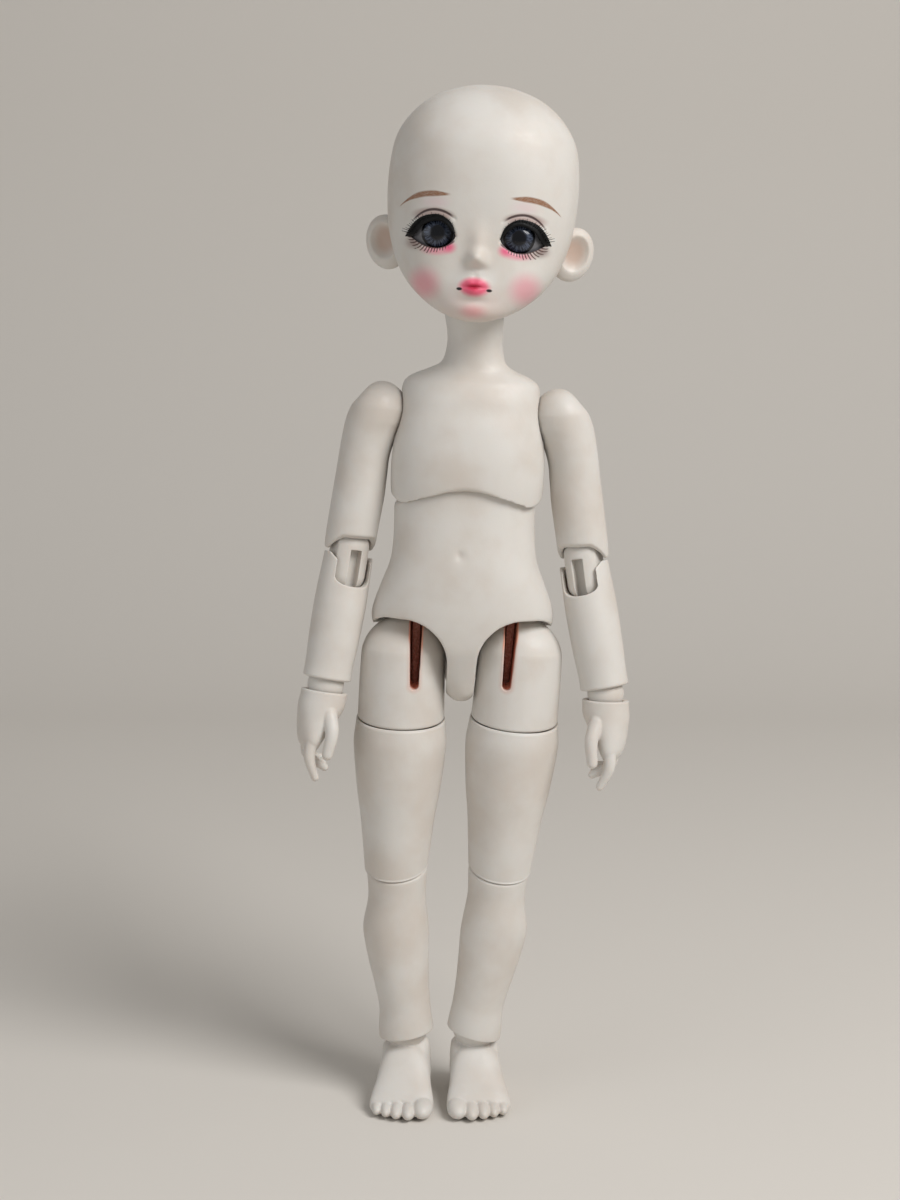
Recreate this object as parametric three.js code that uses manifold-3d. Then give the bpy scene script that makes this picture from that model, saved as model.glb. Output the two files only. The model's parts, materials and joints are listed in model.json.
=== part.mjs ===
// A ball-jointed doll: hollow cast pieces strung on elastic cord, standing with its arms at its sides.
// Millimetres, +Z up, the face looks along -Y, and the doll's own left is on +X.
import * as THREE from "three";
import { ParametricGeometry } from "three/addons/geometries/ParametricGeometry.js";
import { mergeVertices } from "three/addons/utils/BufferGeometryUtils.js";
import Module from "manifold-3d";

const wasm = await Module();
wasm.setup();

// Clearances: a ball in its socket, two faces that meet, a cord in its bore.
const BALL_GAP = 0.3;
const SEAT_GAP = 0.35;
const CORD_GAP = 0.6;

// Skeleton, from joint centre to joint centre.
const HIP_SPREAD = 16.2;
const THIGH_LENGTH = 57;
const SHIN_LENGTH = 50;
const ANKLE_HEIGHT = 20;
const WAIST_RISE = 28;
const SHOULDER_RISE = 39;
const SHOULDER_SPREAD = 25.3;
const ARM_OFFSET = 2.4;
const NECK_RISE = 65;
const HEAD_RISE = 34;
const UPPER_ARM_LENGTH = 37.8;
const ELBOW_LINK_LENGTH = 7.6;
const FOREARM_LENGTH = 30.8;

// Ball radii.
const HIP_BALL = 11.5;
const KNEE_BALL = 7.2;
const ANKLE_BALL = 6.3;
const WAIST_BALL = 24;
const SHOULDER_BALL = 8.5;
const SHOULDER_SLOPE = 16;
const ELBOW_BALL = 5.4;
const WRIST_BALL = 5;
const NECK_BALL = 8.1;

// Thinnest wall of a limb round each socket.
const KNEE_WALL = 1.6;
const ANKLE_WALL = 1.1;
const ELBOW_WALL = 1.2;
const WRIST_WALL = 1.1;

// Stringing.
const CORD = 1.2;
const WAIST_CORD = 1.6;
const WIRE = 0.6;
const SLOT_HALF = 1.8;
const SLOT_INSET = 3.5;

// Rims beside the joints, measured from the joint centre.
const KNEE_RIM_FRONT = 5.4;
const KNEE_RIM_SIDE = 2.6;
const ANKLE_RIM = 1.7;
const ANKLE_RIM_SLANT = 6;
const ELBOW_RIM_FRONT = 3.6;
const ELBOW_RIM_BACK = 1;
const ELBOW_RIM_SLOPE = [0, 5];
const ELBOW_LINK_HALF = 4.3;
const WRIST_RIM = 1.8;
const SWIVEL_BALL = 25.5;
const SWIVEL_DROP = 17;
const SWIVEL_FORWARD = 2.5;
const THIGH_TOP_SWELL = 0.9;

// Head.
const HEAD_HALF = 25.4;
const HEAD_WALL = 3.6;
const CAP_BACK = 8;
const CAP_LEAN = 10;
const EYE_RADIUS = 7.5;
const EYE_SPREAD = 10.5;
const EYE_BACK = 15.9;
const EYE_DROP = 12.8;
const EYE_HOLE_HALF = 6.1;
const EYE_HOLE_TALL = 4.9;
const PUTTY_WIDTH = 1.2;
const LASH_THICK = 0.45;
const MAGNET_RADIUS = 2;
const MAGNET_THICK = 1.6;

// Largest half widths of the body.
const CHEST_HALF = 20.9;
const CHEST_CORNER = [5.4, 3.2];
const WAIST_HALF = 19.3;
const HIPS_HALF = 25;
const THIGH_HALF = 12.9;
const CALF_HALF = 9.2;
const CALF_OUT = 1.2;
const UPPER_ARM_HALF = 6.9;
const FOREARM_HALF = 7.1;

// Standing pose in degrees. A leg slants inward and an arm outward, each from its own side.
const LEG_SLANT = { left: 4.1, right: -0.9 };
const KNEE_BOW = { left: 3, right: 5 };
const ARM_OUT = { left: 7.7, right: 5.5 };
const FOREARM_OUT = { left: 4.5, right: 2.3 };
const ARM_IN = 3;
const FOOT_OUT = { left: 4, right: 4 };
const HAND_IN = { left: 12, right: 2 };
const ELBOW_TURN = 26;
const ELBOW_BEND = 4;
const HAND_TURN = 15;
const CHEST_LEAN = 1.3;
const HEAD_LEAN = 1.5;
const HEAD_TURN = -2;

// Directions, in degrees forward of straight down, that the pelvis leaves open for the thigh.
const HIP_SWING = [-12, 0, 22, 45, 68, 90];

// Finishes.
const RESIN = { color: 0xd9cfc4, roughness: 0.6, metalness: 0 };
const ELASTIC = { color: 0x7a4a3c, roughness: 0.8, metalness: 0 };
const STEEL = { color: 0xb8babd, roughness: 0.3, metalness: 1 };
const IRIS = { color: 0x232936, roughness: 0.08, metalness: 0 };
const PUTTY = { color: 0xcfd6d8, roughness: 0.9, metalness: 0 };
const LASH = { color: 0x1c1412, roughness: 0.7, metalness: 0 };

const X = new THREE.Vector3(1, 0, 0);
const Y = new THREE.Vector3(0, 1, 0);
const Z = new THREE.Vector3(0, 0, 1);
const FAR = 80;
const mix = (a, b, s) => a + (b - a) * s;

// One closed body for joining and cutting, from a three.js geometry.
function solid(geometry) {
  const bare = new THREE.BufferGeometry();
  bare.setAttribute("position", geometry.getAttribute("position"));
  bare.setIndex(geometry.getIndex());
  const merged = mergeVertices(bare, 1e-4);
  const points = Float32Array.from(merged.getAttribute("position").array);
  const corners = merged.getIndex().array;
  const kept = [];
  for (let i = 0; i < corners.length; i += 3) {
    const [a, b, c] = [corners[i], corners[i + 1], corners[i + 2]];
    if (a !== b && b !== c && c !== a) kept.push(a, b, c);
  }
  const build = (list) => {
    const mesh = new wasm.Mesh({ numProp: 3, vertProperties: points, triVerts: Uint32Array.from(list) });
    return new wasm.Manifold(mesh);
  };
  const body = build(kept);
  return body.volume() > 0 ? body : build(kept.reverse());
}

function move(geometry, [x, y, z]) {
  return geometry.translate(x, y, z);
}

function turn(geometry, degrees) {
  const angles = degrees.map(THREE.MathUtils.degToRad);
  return geometry.applyMatrix4(new THREE.Matrix4().makeRotationFromEuler(new THREE.Euler(...angles)));
}

// A ball; a socket is the same ball grown so that its flats stay the clearance away.
function ballShape(radius, at, grow = false) {
  const around = radius > 15 ? 28 : radius > 9 ? 18 : 14;
  const down = around / 2;
  const fit = grow ? (radius + BALL_GAP) / Math.cos(Math.PI / around) / Math.cos(Math.PI / around) : radius;
  const geometry = new THREE.SphereGeometry(fit, around, down);
  geometry.rotateX(Math.PI / 2);
  return solid(move(geometry, at));
}

function ball(radius, at = [0, 0, 0]) {
  return ballShape(radius, at);
}

function socket(radius, at = [0, 0, 0]) {
  return ballShape(radius, at, true);
}

function egg(sizes, at, lean = [0, 0, 0], around = 10, down = 6) {
  const geometry = new THREE.SphereGeometry(1, around, down);
  geometry.rotateX(Math.PI / 2);
  geometry.scale(...sizes);
  return solid(move(turn(geometry, lean), at));
}

// A round rod between two points.
function rod(radius, from, to, sides = 7) {
  const start = new THREE.Vector3(...from);
  const end = new THREE.Vector3(...to);
  const along = end.clone().sub(start);
  const geometry = new THREE.CylinderGeometry(radius, radius, along.length(), sides);
  geometry.applyQuaternion(new THREE.Quaternion().setFromUnitVectors(Y, along.clone().normalize()));
  const middle = start.add(end).multiplyScalar(0.5);
  return solid(move(geometry, middle.toArray()));
}

function box(low, high, lean = [0, 0, 0], at = [0, 0, 0]) {
  const size = high.map((value, i) => value - low[i]);
  const middle = high.map((value, i) => (value + low[i]) / 2);
  return solid(move(turn(move(new THREE.BoxGeometry(...size), middle), lean), at));
}

// A prism across X whose outline is given in the side view as pairs of Y and Z, then leant and moved.
function slab(outline, lean = [0, 0, 0], at = [0, 0, 0]) {
  const shape = new THREE.Shape(outline.map(([y, z]) => new THREE.Vector2(y, z)));
  const geometry = new THREE.ExtrudeGeometry(shape, { depth: 2 * FAR, bevelEnabled: false });
  geometry.translate(0, 0, -FAR);
  geometry.applyMatrix4(new THREE.Matrix4().makeBasis(Y, Z, X));
  return solid(move(turn(geometry, lean), at));
}

// A rounded skin through stations of height, half width, front depth, back depth and sideways shift.
// A squareness over 2 flattens the sections, and the press can move each point along Y.
function skin(stations, around, along, squareness = 2, press = null) {
  const curveOf = (pick) => new THREE.CatmullRomCurve3(stations.map(pick), false, "catmullrom", 0.5);
  const outline = curveOf(([z, half, , , shift = 0]) => new THREE.Vector3(half, shift, z));
  const depths = curveOf(([, , front, back]) => new THREE.Vector3(front, back, 0));
  const rows = along + 2;
  const power = (value) => Math.sign(value) * Math.abs(value) ** (2 / squareness);
  const point = (u, v, target) => {
    const row = Math.round(v * rows);
    const t = THREE.MathUtils.clamp((row - 1) / along, 0, 1);
    const ring = row > 0 && row < rows ? 1 : 0;
    const angle = 2 * Math.PI * (u % 1);
    const { x: half, y: shift, z } = outline.getPoint(t);
    const { x: front, y: back } = depths.getPoint(t);
    const x = shift + ring * half * power(Math.cos(angle));
    const y = (back - front) / 2 + ring * ((front + back) / 2) * power(Math.sin(angle));
    target.set(x, press ? y + press(x, y, z) : y, z);
  };
  return new ParametricGeometry(point, around, rows);
}

// A tapered finger along a smooth path, closed by rounded tips.
function finger(path, near, far, sides = 6, steps = 4) {
  const curve = new THREE.CatmullRomCurve3(path.map((p) => new THREE.Vector3(...p)));
  const frames = curve.computeFrenetFrames(steps, false);
  const rows = steps + 4;
  const tip = [[0, 1], [0.75, 0.45], [1, 0]];
  const point = (u, v, target) => {
    const row = Math.round(v * rows);
    const inner = THREE.MathUtils.clamp(row - 2, 0, steps);
    const end = Math.min(row, rows - row, 2);
    const [grow, reach] = tip[end];
    const radius = mix(near, far, inner / steps);
    const angle = 2 * Math.PI * (u % 1);
    curve.getPoint(inner / steps, target);
    target.addScaledVector(frames.normals[inner], grow * radius * Math.cos(angle));
    target.addScaledVector(frames.binormals[inner], grow * radius * Math.sin(angle));
    target.addScaledVector(frames.tangents[inner], (row < rows / 2 ? -1 : 1) * reach * radius);
  };
  return solid(new ParametricGeometry(point, sides, rows));
}

const join = (...bodies) => bodies.reduce((a, b) => a.add(b));
const cut = (body, ...tools) => tools.reduce((a, b) => a.subtract(b), body);
const keep = (body, tool) => body.intersect(tool);

function add(group, name, body, finish) {
  const { vertProperties, triVerts } = body.getMesh();
  const geometry = new THREE.BufferGeometry();
  geometry.setAttribute("position", new THREE.BufferAttribute(vertProperties, 3));
  geometry.setIndex(new THREE.BufferAttribute(triVerts, 1));
  geometry.computeVertexNormals();
  const mesh = new THREE.Mesh(geometry, new THREE.MeshStandardMaterial(finish));
  mesh.name = name;
  group.add(mesh);
}

function frameAt(parent, name, at, lean = [0, 0, 0]) {
  const group = new THREE.Group();
  group.name = name;
  group.position.set(...at);
  group.rotation.set(...lean.map(THREE.MathUtils.degToRad));
  parent.add(group);
  return group;
}

// A hook of bent wire: a bar lying across X or Y at one end, and a stem up to a ring for the cord.
function hook(bar, low, high, across = X) {
  const ring = new THREE.TorusGeometry(2.6 * WIRE, WIRE, 5, 8);
  ring.rotateX(Math.PI / 2);
  if (across === X) ring.rotateZ(Math.PI / 2);
  const stem = rod(WIRE, [0, 0, low], [0, 0, high]);
  const away = Math.sign(high - low);
  const [x, y] = across.toArray();
  const cross = rod(WIRE, [-bar * x, -bar * y, low], [bar * x, bar * y, low]);
  return join(cross, stem, solid(move(ring, [0, 0, high + away * 2 * WIRE])));
}

function lowerTorso() {
  const outer = solid(skin([
    [-11.6, 2.2, 4, 3.6],
    [-9.6, 4.3, 7, 7.4],
    [-5, 7, 9.4, 11.6],
    [0, 13, 11.8, 14.6],
    [4, 20, 13.4, 16],
    [8, mix(20, HIPS_HALF, 0.8), 14.2, 16.4],
    [11.5, HIPS_HALF, 14.7, 16.2],
    [15, mix(HIPS_HALF, WAIST_HALF, 0.1), 15, 15.4],
    [21, mix(HIPS_HALF, WAIST_HALF, 0.47), 15.2, 13.8],
    [27, mix(HIPS_HALF, WAIST_HALF, 0.86), 15, 12.8],
    [33, WAIST_HALF, 14.4, 12.6],
    [40, WAIST_HALF - 0.1, 13.9, 12.9],
    [47, WAIST_HALF - 0.1, 13.7, 13.2],
    [54, WAIST_HALF - 0.6, 13.6, 13.2],
  ], 20, 12, 2.2));
  const waist = [0, 0, WAIST_RISE];
  const above = cut(box([-FAR, -FAR, WAIST_RISE + 6], [FAR, FAR, FAR]), ball(WAIST_BALL, waist));
  const roof = WAIST_RISE + WAIST_BALL;
  const hollow = solid(skin([
    [HIP_BALL + 4, 9, 8, 8],
    [HIP_BALL + 8, 13, 10, 9.5],
    [WAIST_RISE + 4, 13, 9.5, 8.8],
    [roof - 8, 11, 8, 8],
    [roof - 4, 5, 5, 5],
  ], 10, 5));
  let body = cut(outer, above, hollow, rod(WAIST_CORD + CORD_GAP, [0, 0, roof - 6], [0, 0, roof + 2]));
  for (const side of [-1, 1]) {
    const hip = [side * HIP_SPREAD, 0, 0];
    const reach = (HIP_BALL + THIGH_TOP_SWELL + BALL_GAP) / Math.cos(Math.PI / 18);
    const swing = HIP_SWING.map((degrees) => {
      const angle = THREE.MathUtils.degToRad(degrees);
      return rod(reach, hip, [hip[0], -FAR * Math.sin(angle), -FAR * Math.cos(angle)], 18);
    });
    const inset = side * (HIP_SPREAD - SLOT_INSET);
    const bend = [inset, 0, HIP_BALL + 6];
    const hole = rod(CORD + 3 * CORD_GAP, [inset, 0, 0], bend, 10);
    const passage = rod(CORD + CORD_GAP, [inset, 0, HIP_BALL + 4], [side * 6, 0, HIP_BALL + 9]);
    body = cut(body, socket(HIP_BALL, hip), ...swing, hole, passage);
  }
  return body;
}

function chest() {
  const outer = solid(skin([
    [8, mix(WAIST_HALF, CHEST_HALF, 0.4), 14.3, 13.6],
    [14, mix(WAIST_HALF, CHEST_HALF, 0.6), 14.9, 14],
    [21, CHEST_HALF, 15.7, 14.5],
    [28, CHEST_HALF, 15.8, 14.8],
    [35, CHEST_HALF - 0.9, 15, 14.6],
    [40, CHEST_HALF - 1.6, 13.8, 13.9],
    [44, CHEST_HALF - 2, 12.8, 13.2],
    [NECK_RISE - 17.4, CHEST_HALF - 2.9, 11.2, 12],
    [NECK_RISE - 15.4, CHEST_HALF - 5.7, 9.6, 10.6],
    [NECK_RISE - 14, 11.8, 8.7, 9.4],
    [NECK_RISE - 12, 8.7, 8.2, 8.7, 0.4],
    [NECK_RISE - 8, 7.6, 7.7, 7.9, 0.5],
    [NECK_RISE - 4, 7.5, 7.6, 7.6, 0.4],
    [NECK_RISE, NECK_BALL - 0.3, NECK_BALL - 0.3, NECK_BALL - 0.3],
  ], 20, 14, 2.2));
  const hollow = solid(skin([
    [4, 13.4, 10, 9.6],
    [26, 13.4, 11, 10.4],
    [34, 11, 10, 9.6],
    [SHOULDER_RISE + 3, 9, 8, 8],
    [SHOULDER_RISE + 7, 4.5, 4.5, 4.5],
  ], 10, 5));
  const neckTop = NECK_RISE + NECK_BALL + 2;
  const throat = rod(4.2, [0, 0, SHOULDER_RISE], [0, 0, neckTop], 12);
  let body = cut(join(outer, ball(NECK_BALL, [0, 0, NECK_RISE])), socket(WAIST_BALL), hollow, throat);
  const [wide, tall] = CHEST_CORNER;
  const low = 0.625 * WAIST_BALL;
  const rounding = [0, 0.4, 0.7, 0.9, 1].map((s) => {
    const lift = tall * (1 - Math.sqrt(1 - s * s));
    return [CHEST_HALF - wide * (1 - s), low + lift];
  });
  const outside = [[FAR, low + tall], [FAR, 0], [CHEST_HALF - wide, 0]];
  for (const side of [-1, 1]) {
    const corner = slab([...rounding, ...outside], [0, 0, -90 * side]);
    const shoulder = [side * SHOULDER_SPREAD, 0, SHOULDER_RISE];
    const hole = rod(CORD + CORD_GAP, shoulder, [0, 0, SHOULDER_RISE]);
    const out = THREE.MathUtils.degToRad(ARM_IN);
    const near = SHOULDER_SPREAD + 0.7 * ARM_OFFSET;
    const armpit = [side * (near + 24 * Math.sin(out)), 0, SHOULDER_RISE - 24 * Math.cos(out)];
    const groove = rod(UPPER_ARM_HALF + 0.8, [side * near, 0, SHOULDER_RISE], armpit, 14);
    body = cut(body, socket(SHOULDER_BALL, shoulder), groove, hole, corner);
  }
  return body;
}

// Outer skin of the head; the press raises the nose, lips, chin and cheeks and sinks the eye sockets.
const FACE = [
  [0, -19.6, 2.5, 2.6, 3],
  [0, -14.5, 2.1, 4.5, 0.9],
  [0, -26, 4, 2.4, 1.4],
  [0, -33, 5.5, 2.6, 0.8],
  [13.5, -23, 6, 5, 0.7],
  [-13.5, -23, 6, 5, 0.7],
  [EYE_SPREAD, -EYE_DROP, 4.5, 4, -0.8],
  [-EYE_SPREAD, -EYE_DROP, 4.5, 4, -0.8],
];

function facePress(x, y, z) {
  if (y > -8) return 0;
  const bump = ([cx, cz, wide, tall, rise]) => {
    const away = ((x - cx) / wide) ** 2 + ((z - cz) / tall) ** 2;
    return rise * Math.exp(-away);
  };
  return -FACE.reduce((sum, spot) => sum + bump(spot), 0);
}

function headSkin(inset, around, along, press) {
  const rows = [
    [-34.9, 2, 19.5, -16],
    [-34.2, 5.2, 22, -12],
    [-32.7, 9.2, 23.4, -6],
    [-30, 13.6, 24.2, 4],
    [-26, 18, 24.6, 13],
    [-20.5, 21.6, 24.7, 20],
    [-12.5, 24.3, 24.8, 26],
    [-3, HEAD_HALF, 25.8, 29],
    [6, HEAD_HALF - 0.3, 26, 29.4],
    [13, 23.6, 24.6, 27.6],
    [19, 19.6, 20.6, 22.8],
    [23.4, 14, 14.6, 16.4],
    [26, 7, 7.4, 8.4],
    [26.8, 2, 2, 2.4],
  ];
  if (!inset) return skin(rows, around, along, 2.35, press);
  const inner = rows.slice(3, 12).map(([z, half, front, back]) => {
    const height = z < 0 ? z + 1.4 * inset : z - 0.5 * inset;
    return [height, Math.max(half - inset, 3), Math.max(front - inset - 1, 3), Math.max(back - inset, 3)];
  });
  return skin(inner, around, along, 2.2);
}

function buildHead(head) {
  const floor = NECK_BALL + BALL_GAP + 3.4;
  const ears = [-1, 1].map((side) => {
    const at = [side * 25, 3, -15.6];
    const plate = egg([5.6, 2.4, 7.2], at, [0, side * 14, side * 18]);
    return cut(plate, egg([2.6, 1.6, 4], [side * 27.2, 0.6, -15.2], [0, side * 14, side * 18], 8, 6));
  });
  const lean = THREE.MathUtils.degToRad(CAP_LEAN);
  const back = new THREE.Vector3(0, Math.cos(lean), Math.sin(lean));
  const half = (near) => {
    const geometry = new THREE.BoxGeometry(2 * FAR, FAR, 2 * FAR);
    geometry.translate(0, FAR / 2 + near, 0);
    geometry.rotateX(lean);
    return solid(geometry);
  };
  const neck = [0, 0, -HEAD_RISE];
  const roomy = solid(headSkin(HEAD_WALL, 14, 7, null));
  const low = box([-FAR, -FAR, -FAR], [FAR, FAR, floor - HEAD_RISE]);
  const hollow = cut(roomy, low);
  const bosses = [-1, 1].map((side) => {
    const from = back.clone().multiplyScalar(CAP_BACK - 5).add(new THREE.Vector3(side * 17.5, 0, 6));
    const to = back.clone().multiplyScalar(CAP_BACK + 5).add(new THREE.Vector3(side * 17.5, 0, 6));
    return rod(MAGNET_RADIUS + 2.2, from.toArray(), to.toArray(), 10);
  });
  const outer = solid(headSkin(0, 28, 17, facePress));
  const skull = cut(join(outer, ...ears), hollow);
  const whole = join(skull, ...bosses);
  let shell = cut(whole, half(CAP_BACK - SEAT_GAP / 2), socket(NECK_BALL, neck));
  shell = cut(shell, rod(4.4, neck, [0, 0, floor - HEAD_RISE + 4], 12));
  const cap = keep(whole, half(CAP_BACK + SEAT_GAP / 2));
  let finalCap = cap;
  for (const [name, side] of [["left", 1], ["right", -1]]) {
    const eye = [side * EYE_SPREAD, -EYE_BACK, -EYE_DROP];
    const hole = new THREE.CylinderGeometry(1, 1, FAR, 16);
    hole.scale(EYE_HOLE_HALF, 1, EYE_HOLE_TALL);
    const open = solid(move(hole, [eye[0], eye[1] - FAR / 2, eye[2]]));
    const bed = EYE_RADIUS + PUTTY_WIDTH;
    const well = rod(bed + BALL_GAP, [eye[0], eye[1] - 0.6, eye[2]], [eye[0], 0, eye[2]], 14);
    shell = cut(shell, open, socket(EYE_RADIUS, eye), well);
    const dome = cut(ball(EYE_RADIUS, eye), box([-FAR, eye[1] + 4, -FAR], [FAR, FAR, FAR]));
    add(head, `${name}_eye`, dome, IRIS);
    const clay = rod(bed, [eye[0], eye[1] - 0.2, eye[2]], [eye[0], eye[1] + 4, eye[2]], 14);
    add(head, `${name}_eye_putty`, cut(clay, socket(EYE_RADIUS, eye)), PUTTY);
    const band = (inset) => {
      const ring = new THREE.CylinderGeometry(1, 1, FAR, 16);
      ring.scale(EYE_HOLE_HALF - inset, 1, EYE_HOLE_TALL - inset);
      return solid(move(ring, [eye[0], eye[1] - EYE_RADIUS - 1.6 + FAR / 2, eye[2]]));
    };
    const under = box([-FAR, -FAR, -FAR], [FAR, FAR, eye[2] + 1.2]);
    const behind = box([-FAR, eye[1] - 2.4, -FAR], [FAR, FAR, FAR]);
    const lash = cut(band(SEAT_GAP), band(SEAT_GAP + LASH_THICK), under, behind, socket(EYE_RADIUS, eye));
    add(head, `${name}_upper_lashes`, lash, LASH);
    const seat = (depth) => {
      const at = back.clone().multiplyScalar(depth).add(new THREE.Vector3(side * 17.5, 0, 6));
      return at.toArray();
    };
    const pocketRadius = MAGNET_RADIUS + SEAT_GAP;
    const [front, rear] = [CAP_BACK - SEAT_GAP / 2, CAP_BACK + SEAT_GAP / 2];
    const deep = MAGNET_THICK + 1;
    const pocket = rod(pocketRadius, seat(CAP_BACK - deep), seat(CAP_BACK + deep), 12);
    shell = cut(shell, pocket);
    finalCap = cut(finalCap, pocket);
    const inHead = rod(MAGNET_RADIUS, seat(front - MAGNET_THICK), seat(front), 10);
    add(head, `${name}_head_magnet`, inHead, STEEL);
    const inCap = rod(MAGNET_RADIUS, seat(rear), seat(rear + MAGNET_THICK), 10);
    add(head, `${name}_cap_magnet`, inCap, STEEL);
  }
  add(head, "head_shell", shell, RESIN);
  add(head, "head_cap", finalCap, RESIN);
  const high = floor - HEAD_RISE + 0.6 + WIRE;
  add(head, "neck_hook", hook(6, high, 1 - HEAD_RISE - NECK_BALL), STEEL);
}

function upperArm() {
  const rim = ELBOW_BALL + BALL_GAP + ELBOW_WALL;
  const length = UPPER_ARM_LENGTH;
  const skinBody = solid(skin([
    [1, SHOULDER_BALL - 0.6, SHOULDER_BALL - 0.8, SHOULDER_BALL - 0.8, 0.2],
    [-0.13 * length, mix(SHOULDER_BALL, UPPER_ARM_HALF, 0.5), 7.5, 7.5, 0.5 * ARM_OFFSET],
    [-0.3 * length, UPPER_ARM_HALF, 6.9, 7, 0.75 * ARM_OFFSET],
    [-0.62 * length, UPPER_ARM_HALF + 0.2, 6.9, 7, 0.8 * ARM_OFFSET],
    [-0.86 * length, rim + 0.1, rim, rim, ARM_OFFSET],
    [-length, rim, rim, rim, ARM_OFFSET],
    [-length - 4, rim - 0.5, rim - 0.5, rim - 0.5, ARM_OFFSET],
  ], 14, 7));
  const elbow = [ARM_OFFSET, 0, -length];
  const [near, far] = ELBOW_RIM_SLOPE;
  const under = slab([
    [-FAR, ELBOW_RIM_FRONT + 0.6],
    [-far, ELBOW_RIM_FRONT],
    [-near, -ELBOW_RIM_BACK],
    [FAR, -ELBOW_RIM_BACK],
    [FAR, -FAR],
    [-FAR, -FAR],
  ], [0, 0, -ELBOW_TURN], elbow);
  const slot = box([-FAR, -SLOT_HALF, -SLOT_HALF], [SLOT_HALF, SLOT_HALF, FAR]);
  const bore = rod(CORD + CORD_GAP, [0, 0, 0], elbow);
  const body = join(ball(SHOULDER_BALL), skinBody);
  const slope = cut(box([-1, -FAR, -4], [FAR, FAR, FAR]), ball(SHOULDER_SLOPE, [-8, 0, -5.6]));
  return cut(body, under, socket(ELBOW_BALL, elbow), slot, bore, slope);
}

function elbowLink() {
  const low = [0, 0, -ELBOW_LINK_LENGTH];
  const round = join(ball(ELBOW_BALL), ball(ELBOW_BALL, low), rod(ELBOW_BALL * 0.985, [0, 0, 0], low, 14));
  const body = keep(round, box([-ELBOW_LINK_HALF, -FAR, -FAR], [ELBOW_LINK_HALF, FAR, FAR]));
  return cut(body, box([-SLOT_HALF, -FAR, -FAR], [SLOT_HALF, SLOT_HALF, FAR]));
}

function forearm() {
  const wrist = WRIST_BALL + BALL_GAP + WRIST_WALL;
  const elbow = ELBOW_BALL + BALL_GAP + ELBOW_WALL;
  const length = FOREARM_LENGTH;
  const skinBody = solid(skin([
    [8, elbow - 0.3, elbow - 0.3, elbow - 0.3],
    [0, elbow, elbow, elbow],
    [-0.16 * length, mix(elbow, FOREARM_HALF, 0.8), 7.3, 7.3],
    [-0.32 * length, FOREARM_HALF, 7.4, 7.4],
    [-0.6 * length, mix(FOREARM_HALF, wrist, 0.3), 7.1, 7.1],
    [-0.85 * length, wrist + 0.2, wrist + 0.1, wrist + 0.1],
    [-length - 2, wrist + 0.5, wrist + 0.4, wrist + 0.4],
  ], 14, 7));
  const back = ELBOW_LINK_LENGTH - ELBOW_RIM_BACK - 1.1;
  const over = slab([
    [-FAR, back - 2.6],
    [-5, back - 2.6],
    [-4, back - 1.4],
    [-2, back],
    [FAR, back],
    [FAR, FAR],
    [-FAR, FAR],
  ]);
  const gate = ELBOW_LINK_HALF + 2 * BALL_GAP;
  const gateway = slab([
    [-gate, FAR],
    [-gate, -0.5],
    [1.6 - gate, 0.7 - ELBOW_RIM_FRONT],
    [gate - 1.6, 0.7 - ELBOW_RIM_FRONT],
    [gate, -0.5],
    [gate, FAR],
  ], [0, 0, -90]);
  const window = keep(gateway, box([-FAR, -FAR, -FAR], [FAR, 0, FAR]));
  const end = box([-FAR, -FAR, -FAR], [FAR, FAR, WRIST_RIM - length]);
  const sleeve = rod((ELBOW_BALL + BALL_GAP) / Math.cos(Math.PI / 14), [0, 0, 0], [0, 0, FAR], 14);
  const bore = rod(CORD + CORD_GAP, [0, 0, 0], [0, 0, -length]);
  const openings = [over, window, end, sleeve, bore];
  return cut(skinBody, ...openings, socket(ELBOW_BALL), socket(WRIST_BALL, [0, 0, -length]));
}

function wristBall() {
  const bore = rod(CORD + CORD_GAP, [0, 0, -FAR], [0, 0, FAR]);
  const slot = box([-0.66 * WRIST_BALL, -SLOT_HALF, -FAR], [0.66 * WRIST_BALL, SLOT_HALF, 0]);
  return cut(ball(WRIST_BALL), bore, slot);
}

function hand() {
  const cuff = WRIST_BALL + BALL_GAP + WRIST_WALL;
  const palm = solid(skin([
    [1, cuff, cuff, cuff],
    [-3, cuff, cuff, cuff, 0.1],
    [-6, cuff, cuff + 0.1, cuff, 0.4],
    [-9, cuff - 0.8, cuff + 0.2, cuff - 0.1, 1],
    [-12.5, 4.4, 6.6, 6.2, 1.8],
    [-16, 3.1, 6.3, 6, 2.2],
    [-18.5, 1.6, 4.6, 4.6, 2],
  ], 12, 7));
  const pointer = finger([[2.4, -4.3, -14], [2.6, -4.4, -20], [0.2, -4.1, -25.4]], 1.7, 1.1);
  const curled = [-1.5, 1.3, 4].map((y, i) => {
    const reach = [22.6, 22, 20.6][i];
    return finger([[2.3, y, -14], [1.6, y * 1.04, -20], [-2.6, y, -reach]], 1.6, 1.1);
  });
  const thumb = finger([[-1, -5, -7.5], [-2, -7.2, -12.5], [-1.6, -7, -18.6]], 2.2, 1.5);
  const top = box([-FAR, -FAR, -WRIST_RIM], [FAR, FAR, FAR]);
  const pocket = rod(WIRE + 0.4, [0, -3.6, -9], [0, 3.6, -9]);
  const way = box([-WIRE - 0.4, -WIRE - 0.4, -9], [WIRE + 0.4, WIRE + 0.4, 0]);
  return cut(join(palm, pointer, ...curled, thumb), top, socket(WRIST_BALL), pocket, way);
}

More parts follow.
